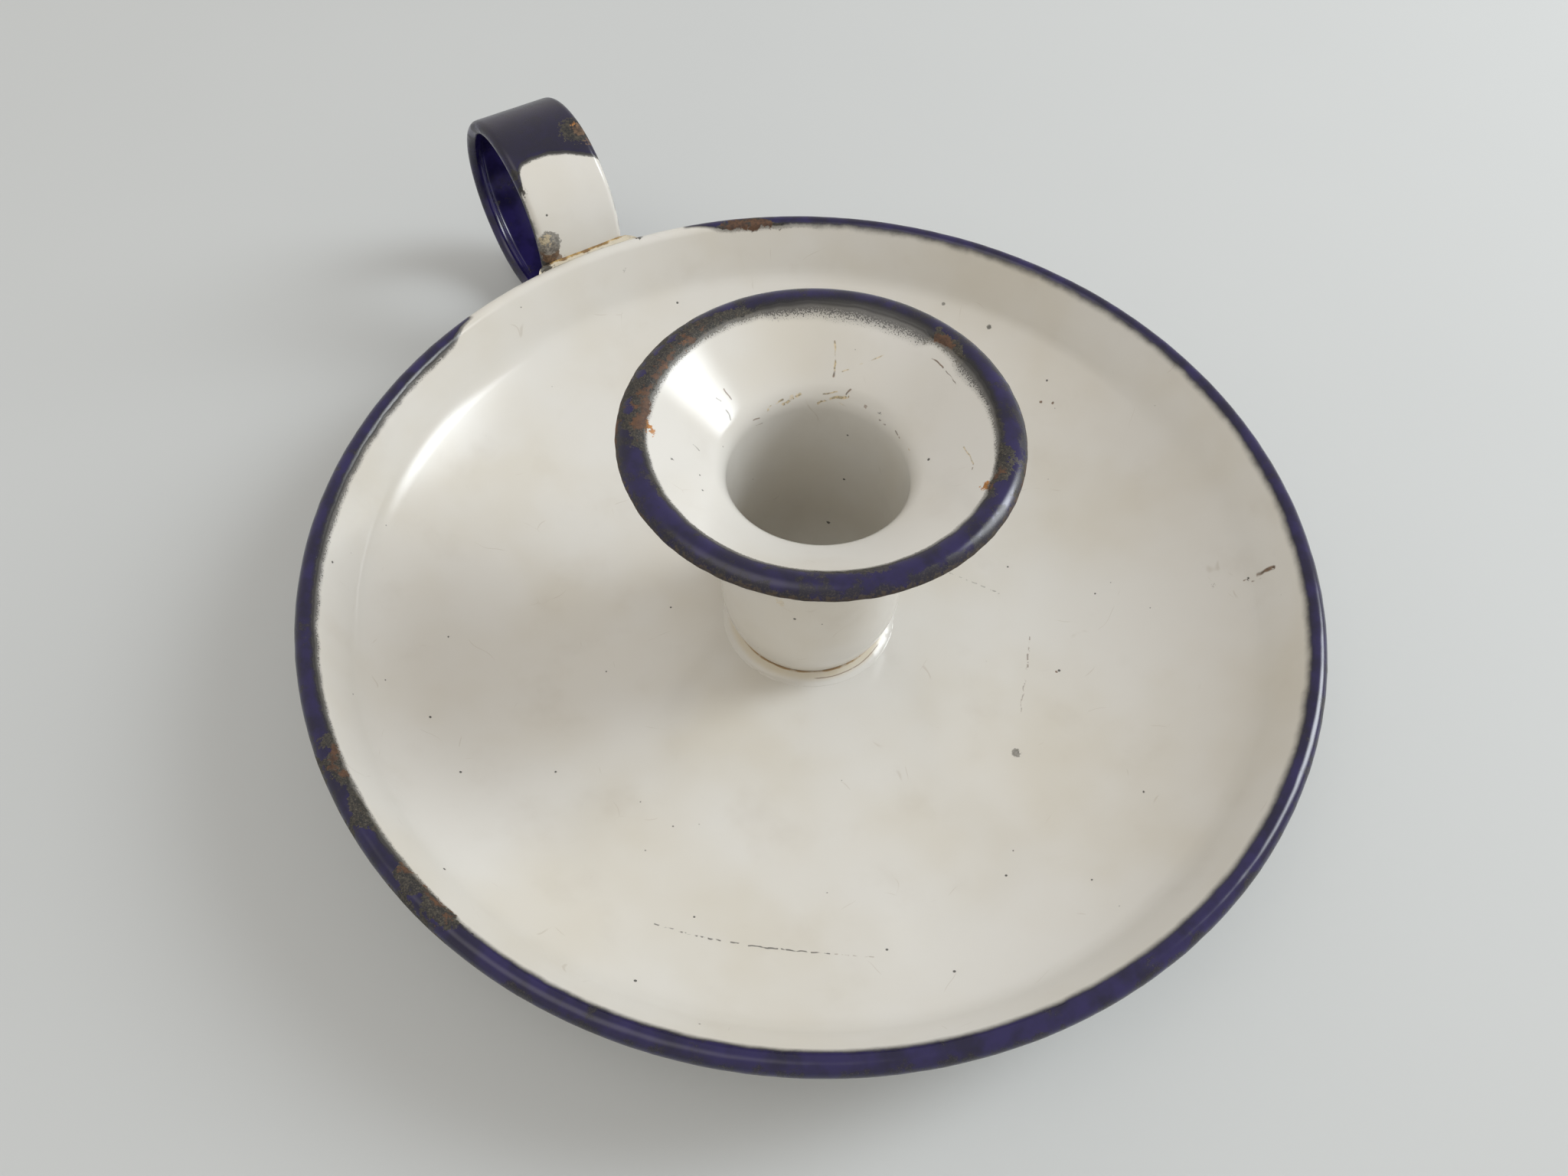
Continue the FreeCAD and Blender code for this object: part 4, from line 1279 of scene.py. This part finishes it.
@dataclass(frozen=True)
class FingerLoop(Piece):
    """The strap with rolled edges, bent to a ring and run in under the dish."""

    # The border's line spans this width of the strap, in millimetres.
    BORDER_SPAN = 16.0
    FULL_TURN = 360.0
    SEAT_STEPS = 8
    ROLL_STEPS = 26
    # The strap's first and second station from either end are this thick.
    END_THICK = (0.05, 0.75)
    name: str = "loop_strap"
    node: str = "finger_loop"
    face: float = 72.2
    start: float = 17.4
    ring_height: float = 20.2
    ring: float = 15.8
    half_width: float = 7.5
    wall: float = 1.1
    wave: Wave = Wave(height=0.06, length=12.0, fray=0.0, middle=wall / 2.0, seed=11.0)
    roll: float = 1.2
    leg_rise: float = 16.0
    roll_reach: float = 3.2
    roll_turn: float = 272.0
    bend: float = 4.0
    tab_slope: float = 30.0
    tab_gap: float = 0.1
    tab_reach: float = 15.2
    seat_top: float = 18.6
    seat_blend: float = 0.9
    tab_blend: float = 2.2
    tab_lead: float = 1.4
    tab_below: float = 4.0
    tab_border: float = 72.4
    under_border: float = 13.0
    wear_reach: float = 1.5
    border: tuple[Pair, ...] = (
        (-7.6, 130.0), (-7.15, 128.0), (-4.9, 123.7), (-2.3, 119.4), (0.4, 117.0), (3.4, 116.5),
        (5.4, 118.1), (6.2, 121.0), (6.9, 131.0), (7.6, 134.0))
    halo: Speck = Speck((83.2, -5.9, 35.3), 2.5, ragged=1.0)
    chips: tuple[Speck, ...] = (
        Speck((72.4, 6.0, 22.3), 1.80, Tint.BROWN, 0.6, 0.95),
        Speck((72.3, 6.2, 21.7), 1.40, Tint.DARK, 0.9, 0.7),
        Speck((72.9, 5.7, 23.9), 2.00, Tint.GREY, 0.4, 0.85),
        Speck((73.1, 6.3, 24.5), 0.90, Tint.WAX, 0.7, 0.60),
        Speck((72.2, 5.0, 21.2), 0.95, Tint.BROWN, 0.7, 0.8),
        Speck((72.2, 6.9, 20.0), 1.90, Tint.DARK, 0.7, 0.95),
        Speck((79.6, 7.4, 33.6), 1.00, Tint.DARK, 0.8, 0.9),
        Speck((77.4, 7.5, 31.9), 0.80, Tint.DARK, 0.8, 0.9),
        Speck((83.2, -6.6, 35.3), 1.20, Tint.BROWN, 0.6, 0.7),
        Speck((80.6, -7.3, 34.2), 0.80, Tint.BROWN, 0.6, 0.65),
        Speck((84.4, -6.2, 35.9), 0.45, Tint.RUST, 0.5, 0.65))

    def section(self) -> list[Corner]:
        """Trace across the strap; where it is flattened the rolls are gone.

        Returns:
            The corners, the last on the first.
        """
        roll_middle = self.half_width - self.roll
        count = 18
        corners = []
        for k in range(count + 1):
            across = roll_middle * (2.0 * k / count - 1.0)
            corners.append(Corner((0.0, across), (0.0, across)))
        self.wrap(corners, 1.0, roll_middle)
        for k in range(1, count):
            across = (roll_middle - self.roll) * (1.0 - 2.0 * k / count)
            corners.append(Corner((self.wall, across), (self.wall, across)))
        self.wrap(corners, -1.0, roll_middle)
        return corners + [corners[0]]

    def wrap(self, corners: list[Corner], side: float, middle: float) -> None:
        """Add one rolled edge, from the outer face round to the inner or back.

        Args:
            corners: The section so far.
            side: 1 for one edge and -1 for the other.
            middle: How far the roll's centre is from the strap's middle.
        """
        half = self.wall / 2.0
        arc = []
        for k in range(1, self.ROLL_STEPS + 1):
            out, up = aim(math.radians(-90.0 + self.roll_turn * k / self.ROLL_STEPS))
            flat_out, flat_up = aim(math.radians(-90.0 + 180.0 * k / self.ROLL_STEPS))
            arc.append(Corner((self.roll * (1.0 + up), side * (middle + self.roll * out)),
                              (half * (1.0 + flat_up), side * (middle + half * flat_out))))
        corners.extend(arc if side > 0 else reversed(arc))

    def rail(self) -> list[Station]:
        """Follow the strap's outer face from the rim round the ring to the tab.

        Returns:
            The stations.
        """
        dish = Dish()
        lean, slope = math.radians(self.leg_rise), math.radians(self.tab_slope)
        leg_in, tab_in = (math.sin(lean), math.cos(lean)), (-math.sin(slope), math.cos(slope))
        trace = Trace(-1.0)
        trace.line((self.face, self.start), (self.face, self.ring_height), steps=self.SEAT_STEPS)
        ring_centre = (self.face + self.ring, self.ring_height)
        trace.arc(ring_centre, self.ring, 180.0, -90.0 - self.leg_rise, steps=190, hollow=True)
        leg_start = trace.points[-1][0]
        sweep = dish.wall_radius()
        reach = sweep + dish.wall + self.tab_gap + self.wall
        hub = (dish.floor_radius, dish.wall + sweep)
        level_tab = hub[0] * tab_in[0] + hub[1] * tab_in[1] - reach - self.bend
        level_leg = leg_start[0] * leg_in[0] + leg_start[1] * leg_in[1] - self.bend
        spread = leg_in[0] * tab_in[1] - leg_in[1] * tab_in[0]
        turn = ((level_leg * tab_in[1] - level_tab * leg_in[1]) / spread,
                (leg_in[0] * level_tab - tab_in[0] * level_leg) / spread)
        trace.line(leg_start, along(turn, leg_in, self.bend), steps=24)
        trace.arc(turn, self.bend, 90.0 - self.leg_rise, 90.0 + self.tab_slope, steps=10, hollow=False)
        tab_start, tab_end = trace.points[-1][0], self.face - self.tab_reach
        drop = (tab_start[0] - tab_end) * math.tan(slope)
        trace.line(tab_start, (tab_end, tab_start[1] - drop), steps=8)
        count = len(trace.points)
        return [self.station(place, way, k, count) for k, (place, way, _) in enumerate(trace.points)]

    def station(self, place: Pair, way: Pair, number: int, count: int) -> Station:
        """Turn one place of the path into a station, thinned at both ends of the strap.

        Args:
            place: Where it is.
            way: The way that the face looks.
            number: Its number on the path.
            count: How many there are.

        Returns:
            The station.
        """
        to_end = min(number, count - 1 - number)
        thick = self.END_THICK[to_end] if to_end < len(self.END_THICK) else 1.0
        flatten = 0.0
        if number <= self.SEAT_STEPS:
            flatten = (self.seat_top - place[1]) / self.seat_blend
        elif place[1] < self.ring_height - self.tab_below:
            flatten = (self.face - self.roll_reach + self.tab_lead - place[0]) / self.tab_blend
        flatten = min(1.0, max(0.0, flatten))
        flatten = flatten * flatten * (3.0 - 2.0 * flatten)
        return Station((place[0], 0.0, place[1]), (way[0], 0.0, way[1]), (0.0, 1.0, 0.0), thick, flatten)

    def finish(self, box: Paintbox) -> bpy.types.Material:
        """Dress the loop: white front, blue over the rest, chips and rust.

        Args:
            box: The shared groups and colours.

        Returns:
            The piece's material.
        """
        work = Finish("loop_enamel", box)
        wire, enamel = work.wire, box.enamel
        across = wire.minus(work.across, self.face + self.ring)
        height = wire.minus(work.level, self.ring_height)
        low, near = wire.calc("LESS_THAN", height, 0.0), wire.calc("LESS_THAN", across, 1.0 - self.ring)
        turn = wire.total(wire.bearing(across, height), wire.times(low, near, self.FULL_TURN))
        away = wire.away(across, height)
        # The border's angle is looked up along the strap's width, as a share of a full turn.
        stops = [(y / self.BORDER_SPAN + 0.5, (angle / self.FULL_TURN,) * 3) for y, angle in self.border]
        line = wire.times(wire.ramp(wire.linear(work.deep, 1.0 / self.BORDER_SPAN, 0.5), stops)[0],
                          self.FULL_TURN)
        front = wire.times(wire.minus(turn, line), self.ring * math.pi / 180.0)
        upper = wire.calc("SMOOTH_MIN", front, wire.minus(away, self.ring - self.roll * 0.8), 0.6)
        under = wire.calc("MINIMUM", wire.minus(self.tab_border, work.across),
                          wire.minus(self.under_border, work.level))
        edge = wire.most(upper, under)
        work.rim(edge, (0.0, 0.16, 0.22), self.wear_reach, 0.02)
        # Darkens most of the ring's blue outer face towards soot and deep blue, by a noisy amount.
        outside = wire.step(away, self.ring - 0.9, self.ring - 0.2)
        outside = wire.times(wire.fall(edge, -1.2, -0.2), outside)
        darkened = wire.scale_to(wire.noise(work.point, 6.0, detail=4.0, seed=44.0, rough=0.6), 0.60, 0.94)
        work.layer(wire.times(outside, darkened), wire.mix(0.60, enamel.soot, enamel.blue_deep), 0.30)
        halo = work.spot(self.halo, work.point)
        scorched = wire.mix(wire.step(work.shake, 0.45, 0.60), enamel.soot, enamel.olive)
        work.layer(halo, scorched, enamel.dull)
        work.marks(self.chips)
        rubs = wire.step(wire.noise(work.point, 2.2, detail=4.0, seed=41.0, rough=0.7), 0.46, 0.60)
        sideways = wire.calc("ABSOLUTE", work.deep)
        rolled = wire.step(sideways, self.half_width - 0.6, self.half_width - 0.1)
        work.layer(wire.times(rolled, rubs, 0.55), enamel.soot, enamel.dull)
        return work.close()


@dataclass(frozen=True)
class Seam(Piece):
    """A brazed seam under its enamel."""

    slot: str = "braze"
    wave: Wave = Wave(height=0.03, length=5.0, fray=0.06, fray_length=1.2, seed=17.0)


@dataclass(frozen=True)
class FootSeam(Seam):
    """The cracked fillet between the cup and the dish's floor."""

    name: str = "foot_seam"
    node: str = "socket_braze"
    heel: float = 10.4
    toe: float = 13.4
    floor: float = 1.1
    tip: Pair = (11.42, 2.28)
    shoulder: Pair = (11.1, 2.0)
    heel_top: float = 1.5
    sunk: float = 0.02
    hollow: float = 3.2
    steps: int = 14
    stained_from: float = 11.9
    stained_to: float = 12.9
    top_crack: float = 11.53
    low_crack: float = 12.25
    crack_angle: float = 166.0
    yellow: Triple = (0.62, 0.53, 0.36)
    crack: Triple = (0.34, 0.205, 0.085)
    stain: Triple = (0.16, 0.09, 0.04)

    def section(self) -> list[Corner]:
        """The fillet between the cup and the floor, cut through.

        Returns:
            The corners, the last on the first.
        """
        start, end = Vector(self.tip), Vector((self.toe, self.floor))
        chord = end - start
        lift = Vector((-chord.y, chord.x)).normalized()
        hub = start + chord / 2.0 + lift * math.sqrt(self.hollow ** 2 - (chord.length / 2.0) ** 2)
        first = math.atan2(start.y - hub.y, start.x - hub.x)
        last = math.atan2(end.y - hub.y, end.x - hub.x)
        places = [(self.heel, self.floor - self.sunk), (self.toe, self.floor - self.sunk)]
        for k in range(self.steps + 1):
            turn = last + (first - last) * k / self.steps
            places.append(along(tuple(hub), aim(turn), self.hollow))
        places += [self.shoulder, (self.heel, self.heel_top), places[0]]
        return [Corner(place, None, 1.0) for place in places]

    def finish(self, box: Paintbox) -> bpy.types.Material:
        """Cream enamel with a brown crack at the top and a faint one on the slope.

        Args:
            box: The shared groups and colours.

        Returns:
            The piece's material.
        """
        work = Finish("foot_seam_enamel", box)
        wire = work.wire
        stain = wire.noise(work.point, 2.8, detail=4.0, seed=61.0, rough=0.6)
        yellow = wire.times(wire.scale_to(stain, 0.15, 0.95),
                            wire.fall(work.radius, self.stained_from, self.stained_to))
        work.layer(yellow, self.yellow, 0.16)
        wander = wire.times(wire.minus(wire.noise(work.point, 3.0, detail=4.0, seed=62.0), 0.5), 0.35)
        top = wire.fall(wire.minus(work.radius, wire.total(wander, self.top_crack)), 0.0, 0.09)
        crack = wire.times(top, wire.scale_to(wire.step(stain, 0.36, 0.52), 0.25, 0.90))
        work.layer(crack, self.crack, 0.6)
        lower = wire.calc("ABSOLUTE", wire.minus(work.radius, wire.total(wander, self.low_crack)))
        span = wire.calc("ABSOLUTE", wire.minus(wire.calc("ABSOLUTE", work.angle), self.crack_angle))
        second = wire.times(wire.fall(lower, 0.02, 0.11), wire.fall(span, 12.0, 16.0))
        work.layer(wire.times(second, 0.7), self.stain, 0.5)
        return work.close()


@dataclass(frozen=True)
class SaddleSeam(Seam):
    """The golden fillet between the rim's bead and the upper end of the loop."""

    name: str = "loop_seam"
    node: str = "loop_braze"
    bead_middle: float = 70.5
    bead: float = 1.5
    bead_turns: tuple[float, ...] = (-20.0, 0.0, 15.0, 30.0, 45.0, 55.0)
    strap_side: tuple[Pair, ...] = (
        (1.02, 1.28), (1.25, 1.22), (1.50, 1.30), (1.72, 1.50), (1.95, 1.52), (2.02, -0.5))
    rim_height: float = 19.0
    reach: float = 8.8
    overhang: float = 0.6
    thin_share: float = 0.18
    thinnest: float = 0.02
    steps: int = 96
    brass_from: float = 70.95
    brass_wander: float = 1.6
    thin_cream: Triple = (0.60, 0.50, 0.31)
    brass: Triple = (0.56, 0.36, 0.11)
    brass_dark: Triple = (0.19, 0.095, 0.022)
    darkened: Triple = (0.07, 0.035, 0.015)
    specks: tuple[Speck, ...] = (
        Speck((71.3, -9.2, 19.9), 0.45, Tint.DARK, 0.4), Speck((71.6, 7.6, 20.0), 1.3, Tint.DARK, 0.9))

    def section(self) -> list[Corner]:
        """The fillet in the valley between the bead and the strap, cut through.

        Returns:
            The corners, the last on the first.
        """
        places = [along((0.0, 0.0), aim(math.radians(turn)), self.bead) for turn in self.bead_turns]
        places += [*self.strap_side, places[0]]
        return [Corner(place, None, 1.0) for place in reversed(places)]

    def rail(self) -> list[Station]:
        """Follow the bead across the strap's width, thinning to both ends.

        Returns:
            The stations.
        """
        stations = []
        for k in range(self.steps + 1):
            share = 2.0 * k / self.steps - 1.0
            way = aim(math.asin(share * (self.reach + self.overhang) / self.bead_middle))
            origin = (self.bead_middle * way[0], self.bead_middle * way[1], self.rim_height)
            thick = max(self.thinnest, math.sqrt(min(1.0, (1.0 - abs(share)) / self.thin_share)))
            stations.append(Station(origin, (*way, 0.0), (0.0, 0.0, 1.0), thick))
        return stations

    def finish(self, box: Paintbox) -> bpy.types.Material:
        """Golden brass under thin cream enamel, brown in its cracks.

        Args:
            box: The shared groups and colours.

        Returns:
            The piece's material.
        """
        work = Finish("loop_seam_enamel", box)
        wire = work.wire
        gold = wire.noise(work.point, 1.3, detail=4.0, seed=71.0, rough=0.65)
        border = wire.linear(gold, self.brass_wander, self.brass_from)
        line = wire.step(wire.minus(work.across, border), 0.0, 0.22)
        work.layer(wire.scale_to(gold, 0.2, 0.8), self.thin_cream, 0.22)
        tone = wire.mix(wire.step(gold, 0.40, 0.62), self.brass_dark, self.brass)
        work.layer(wire.times(line, 0.95), tone, 0.40)
        crack = wire.step(wire.noise(work.point, 0.9, detail=4.0, seed=72.0, rough=0.7), 0.56, 0.66)
        work.layer(wire.times(crack, 0.7), self.darkened, 0.6)
        work.marks(self.specks)
        return work.close()


# The stage


@dataclass(frozen=True)
class Studio:
    """The floor, the lamps and the camera."""

    floor_half: float = 15.0
    floor_gap: float = 0.05
    floor_tone: Triple = (0.595, 0.615, 0.625)
    floor_mottle: float = 0.97
    floor_grain: float = 60.0
    fade_from: float = 0.32
    fade_to: float = 1.3
    sky: Triple = (1.0, 0.960, 0.900)
    sky_strength: float = 0.62
    distance: Triple = (0.640, 0.650, 0.650)
    cloth_full: float = 0.15
    cloth_dark: float = 1.05
    cloth_gain: float = 2.3
    look_height: float = 20.0
    loop_azimuth: float = 126.5
    eye: Triple = (0.0, -98.0, 152.2)
    yaw: float = -2.31
    pitch: float = 55.91
    roll: float = 2.25
    focal_pixels: float = 1500.0
    frame_width: float = 2048.0
    sensor: float = 36.0

    def floor(self) -> None:
        """Lay a plain pale floor that keeps the object's shadow."""
        half = self.floor_half
        mesh = bpy.data.meshes.new("floor_sheet")
        mesh.from_pydata([(-half, -half, 0), (half, -half, 0), (half, half, 0), (-half, half, 0)], [],
                         [(0, 1, 2, 3)])
        sheet = add_object("floor_sheet", mesh)
        sheet.location.z = -self.floor_gap * MM
        material = bpy.data.materials.new("floor_card")
        material.use_nodes = True
        wire = Wiring(material.node_tree)
        nodes = material.node_tree.nodes
        place = wire.add("ShaderNodeTexCoord").outputs["Object"]
        grain = wire.noise(wire.scaled(place, 1.0 / MM), self.floor_grain, detail=3.0, seed=81.0)
        darker = tuple(value * self.floor_mottle for value in self.floor_tone)
        tone = wire.mix(grain, darker, self.floor_tone)
        card = wire.feed(nodes["Principled BSDF"], Base_Color=tone, Roughness=0.75, Specular_IOR_Level=0.2)
        far = wire.add("ShaderNodeEmission", self.distance)
        seen = wire.add("ShaderNodeLightPath").outputs["Is Camera Ray"]
        fade = wire.times(seen, wire.step(wire.vec("LENGTH", place), self.fade_from, self.fade_to))
        wire.feed(nodes["Material Output"], Surface=wire.add("ShaderNodeMixShader", fade, card, far))
        mesh.materials.append(material)

    def sky_light(self) -> None:
        """Light the room evenly and show a pale background."""
        world = bpy.data.worlds.new("soft_room")
        world.use_nodes = True
        bpy.context.scene.world = world
        wire = Wiring(world.node_tree)
        nodes = world.node_tree.nodes
        ground = wire.feed(nodes["Background"], Color=self.sky, Strength=self.sky_strength)
        seen = wire.add("ShaderNodeLightPath").outputs["Is Camera Ray"]
        far = wire.add("ShaderNodeBackground", self.distance)
        wire.feed(nodes["World Output"], Surface=wire.add("ShaderNodeMixShader", seen, ground, far))

    def lamp(self, name: str, azimuth: float, height: float, away: float, size: Pair, power: float,
             tone: Triple) -> None:
        """Hang one soft lamp that looks at the part.

        Args:
            name: The lamp's name.
            azimuth: Its bearing from the part in degrees, where the camera stands at -90.
            height: Its elevation in degrees.
            away: Its distance in metres.
            size: Its width and height in metres.
            power: Its power in watts.
            tone: Its colour.
        """
        data = bpy.data.lights.new(name, "AREA")
        data.shape = "RECTANGLE"
        data.size, data.size_y = size
        data.energy = power
        data.color = tone
        self.feather(data)
        lamp = add_object(name, data)
        turn, lift = math.radians(azimuth - self.loop_azimuth), math.radians(height)
        lamp.location = Vector((math.cos(turn) * math.cos(lift), math.sin(turn) * math.cos(lift),
                                math.sin(lift))) * away
        look = Vector((0.0, 0.0, self.look_height * MM)) - lamp.location
        lamp.rotation_euler = look.to_track_quat("-Z", "Y").to_euler()

    def feather(self, data: bpy.types.Light) -> None:
        """Let a lamp's cloth fade towards its frame.

        Args:
            data: The lamp's light.
        """
        data.use_nodes = True
        wire = Wiring(data.node_tree)
        place = wire.add("ShaderNodeNewGeometry").outputs["Parametric"]
        fades = []
        for socket in wire.add("ShaderNodeSeparateXYZ", place).outputs[:2]:
            off = wire.calc("ABSOLUTE", wire.linear(socket, 2.0, -1.0))
            fades.append(wire.fall(off, self.cloth_full, self.cloth_dark))
        wire.feed(data.node_tree.nodes["Emission"], Strength=wire.times(*fades, self.cloth_gain))

    def camera(self) -> None:
        """Stand the camera where the photograph was taken."""
        yaw, pitch, roll = (math.radians(value) for value in (self.yaw, self.pitch, self.roll))
        ahead = Vector((math.sin(yaw) * math.cos(pitch), math.cos(yaw) * math.cos(pitch), -math.sin(pitch)))
        right = Vector((math.cos(yaw), -math.sin(yaw), 0.0))
        up = right.cross(ahead)
        level, tilt = aim(roll)
        right, up = right * level + up * tilt, up * level - right * tilt
        pose = Matrix((right, up, -ahead)).transposed().to_4x4()
        pose.translation = Vector(self.eye) * MM
        data = bpy.data.cameras.new("view_camera")
        data.sensor_width = self.sensor
        data.lens = self.focal_pixels / self.frame_width * self.sensor
        data.clip_start = 0.005
        camera = add_object("view_camera", data)
        camera.matrix_world = Matrix.Rotation(math.radians(-self.loop_azimuth), 4, "Z") @ pose
        bpy.context.scene.camera = camera

    def build(self) -> None:
        """Set the whole stage."""
        self.floor()
        self.sky_light()
        self.lamp("window_lamp", azimuth=19.0, height=35.0, away=0.95, size=(0.50, 0.80), power=6.5,
                  tone=(0.92, 0.97, 1.0))
        self.lamp("top_lamp", azimuth=-150.0, height=70.0, away=1.30, size=(1.30, 1.30), power=2.6,
                  tone=(1.0, 0.96, 0.89))
        self.camera()
        bpy.context.scene.view_settings.view_transform = "Standard"


def main() -> None:
    """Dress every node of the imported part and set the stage."""
    logging.basicConfig(level=logging.INFO, format="%(name)s: %(message)s")
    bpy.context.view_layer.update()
    box, sweep = Paintbox(Enamel()), Sweep()
    for piece in (Dish(), CandleSocket(), FingerLoop(), FootSeam(), SaddleSeam()):
        piece.build(box, sweep)
    Studio().build()


if __name__ == "__main__":
    main()
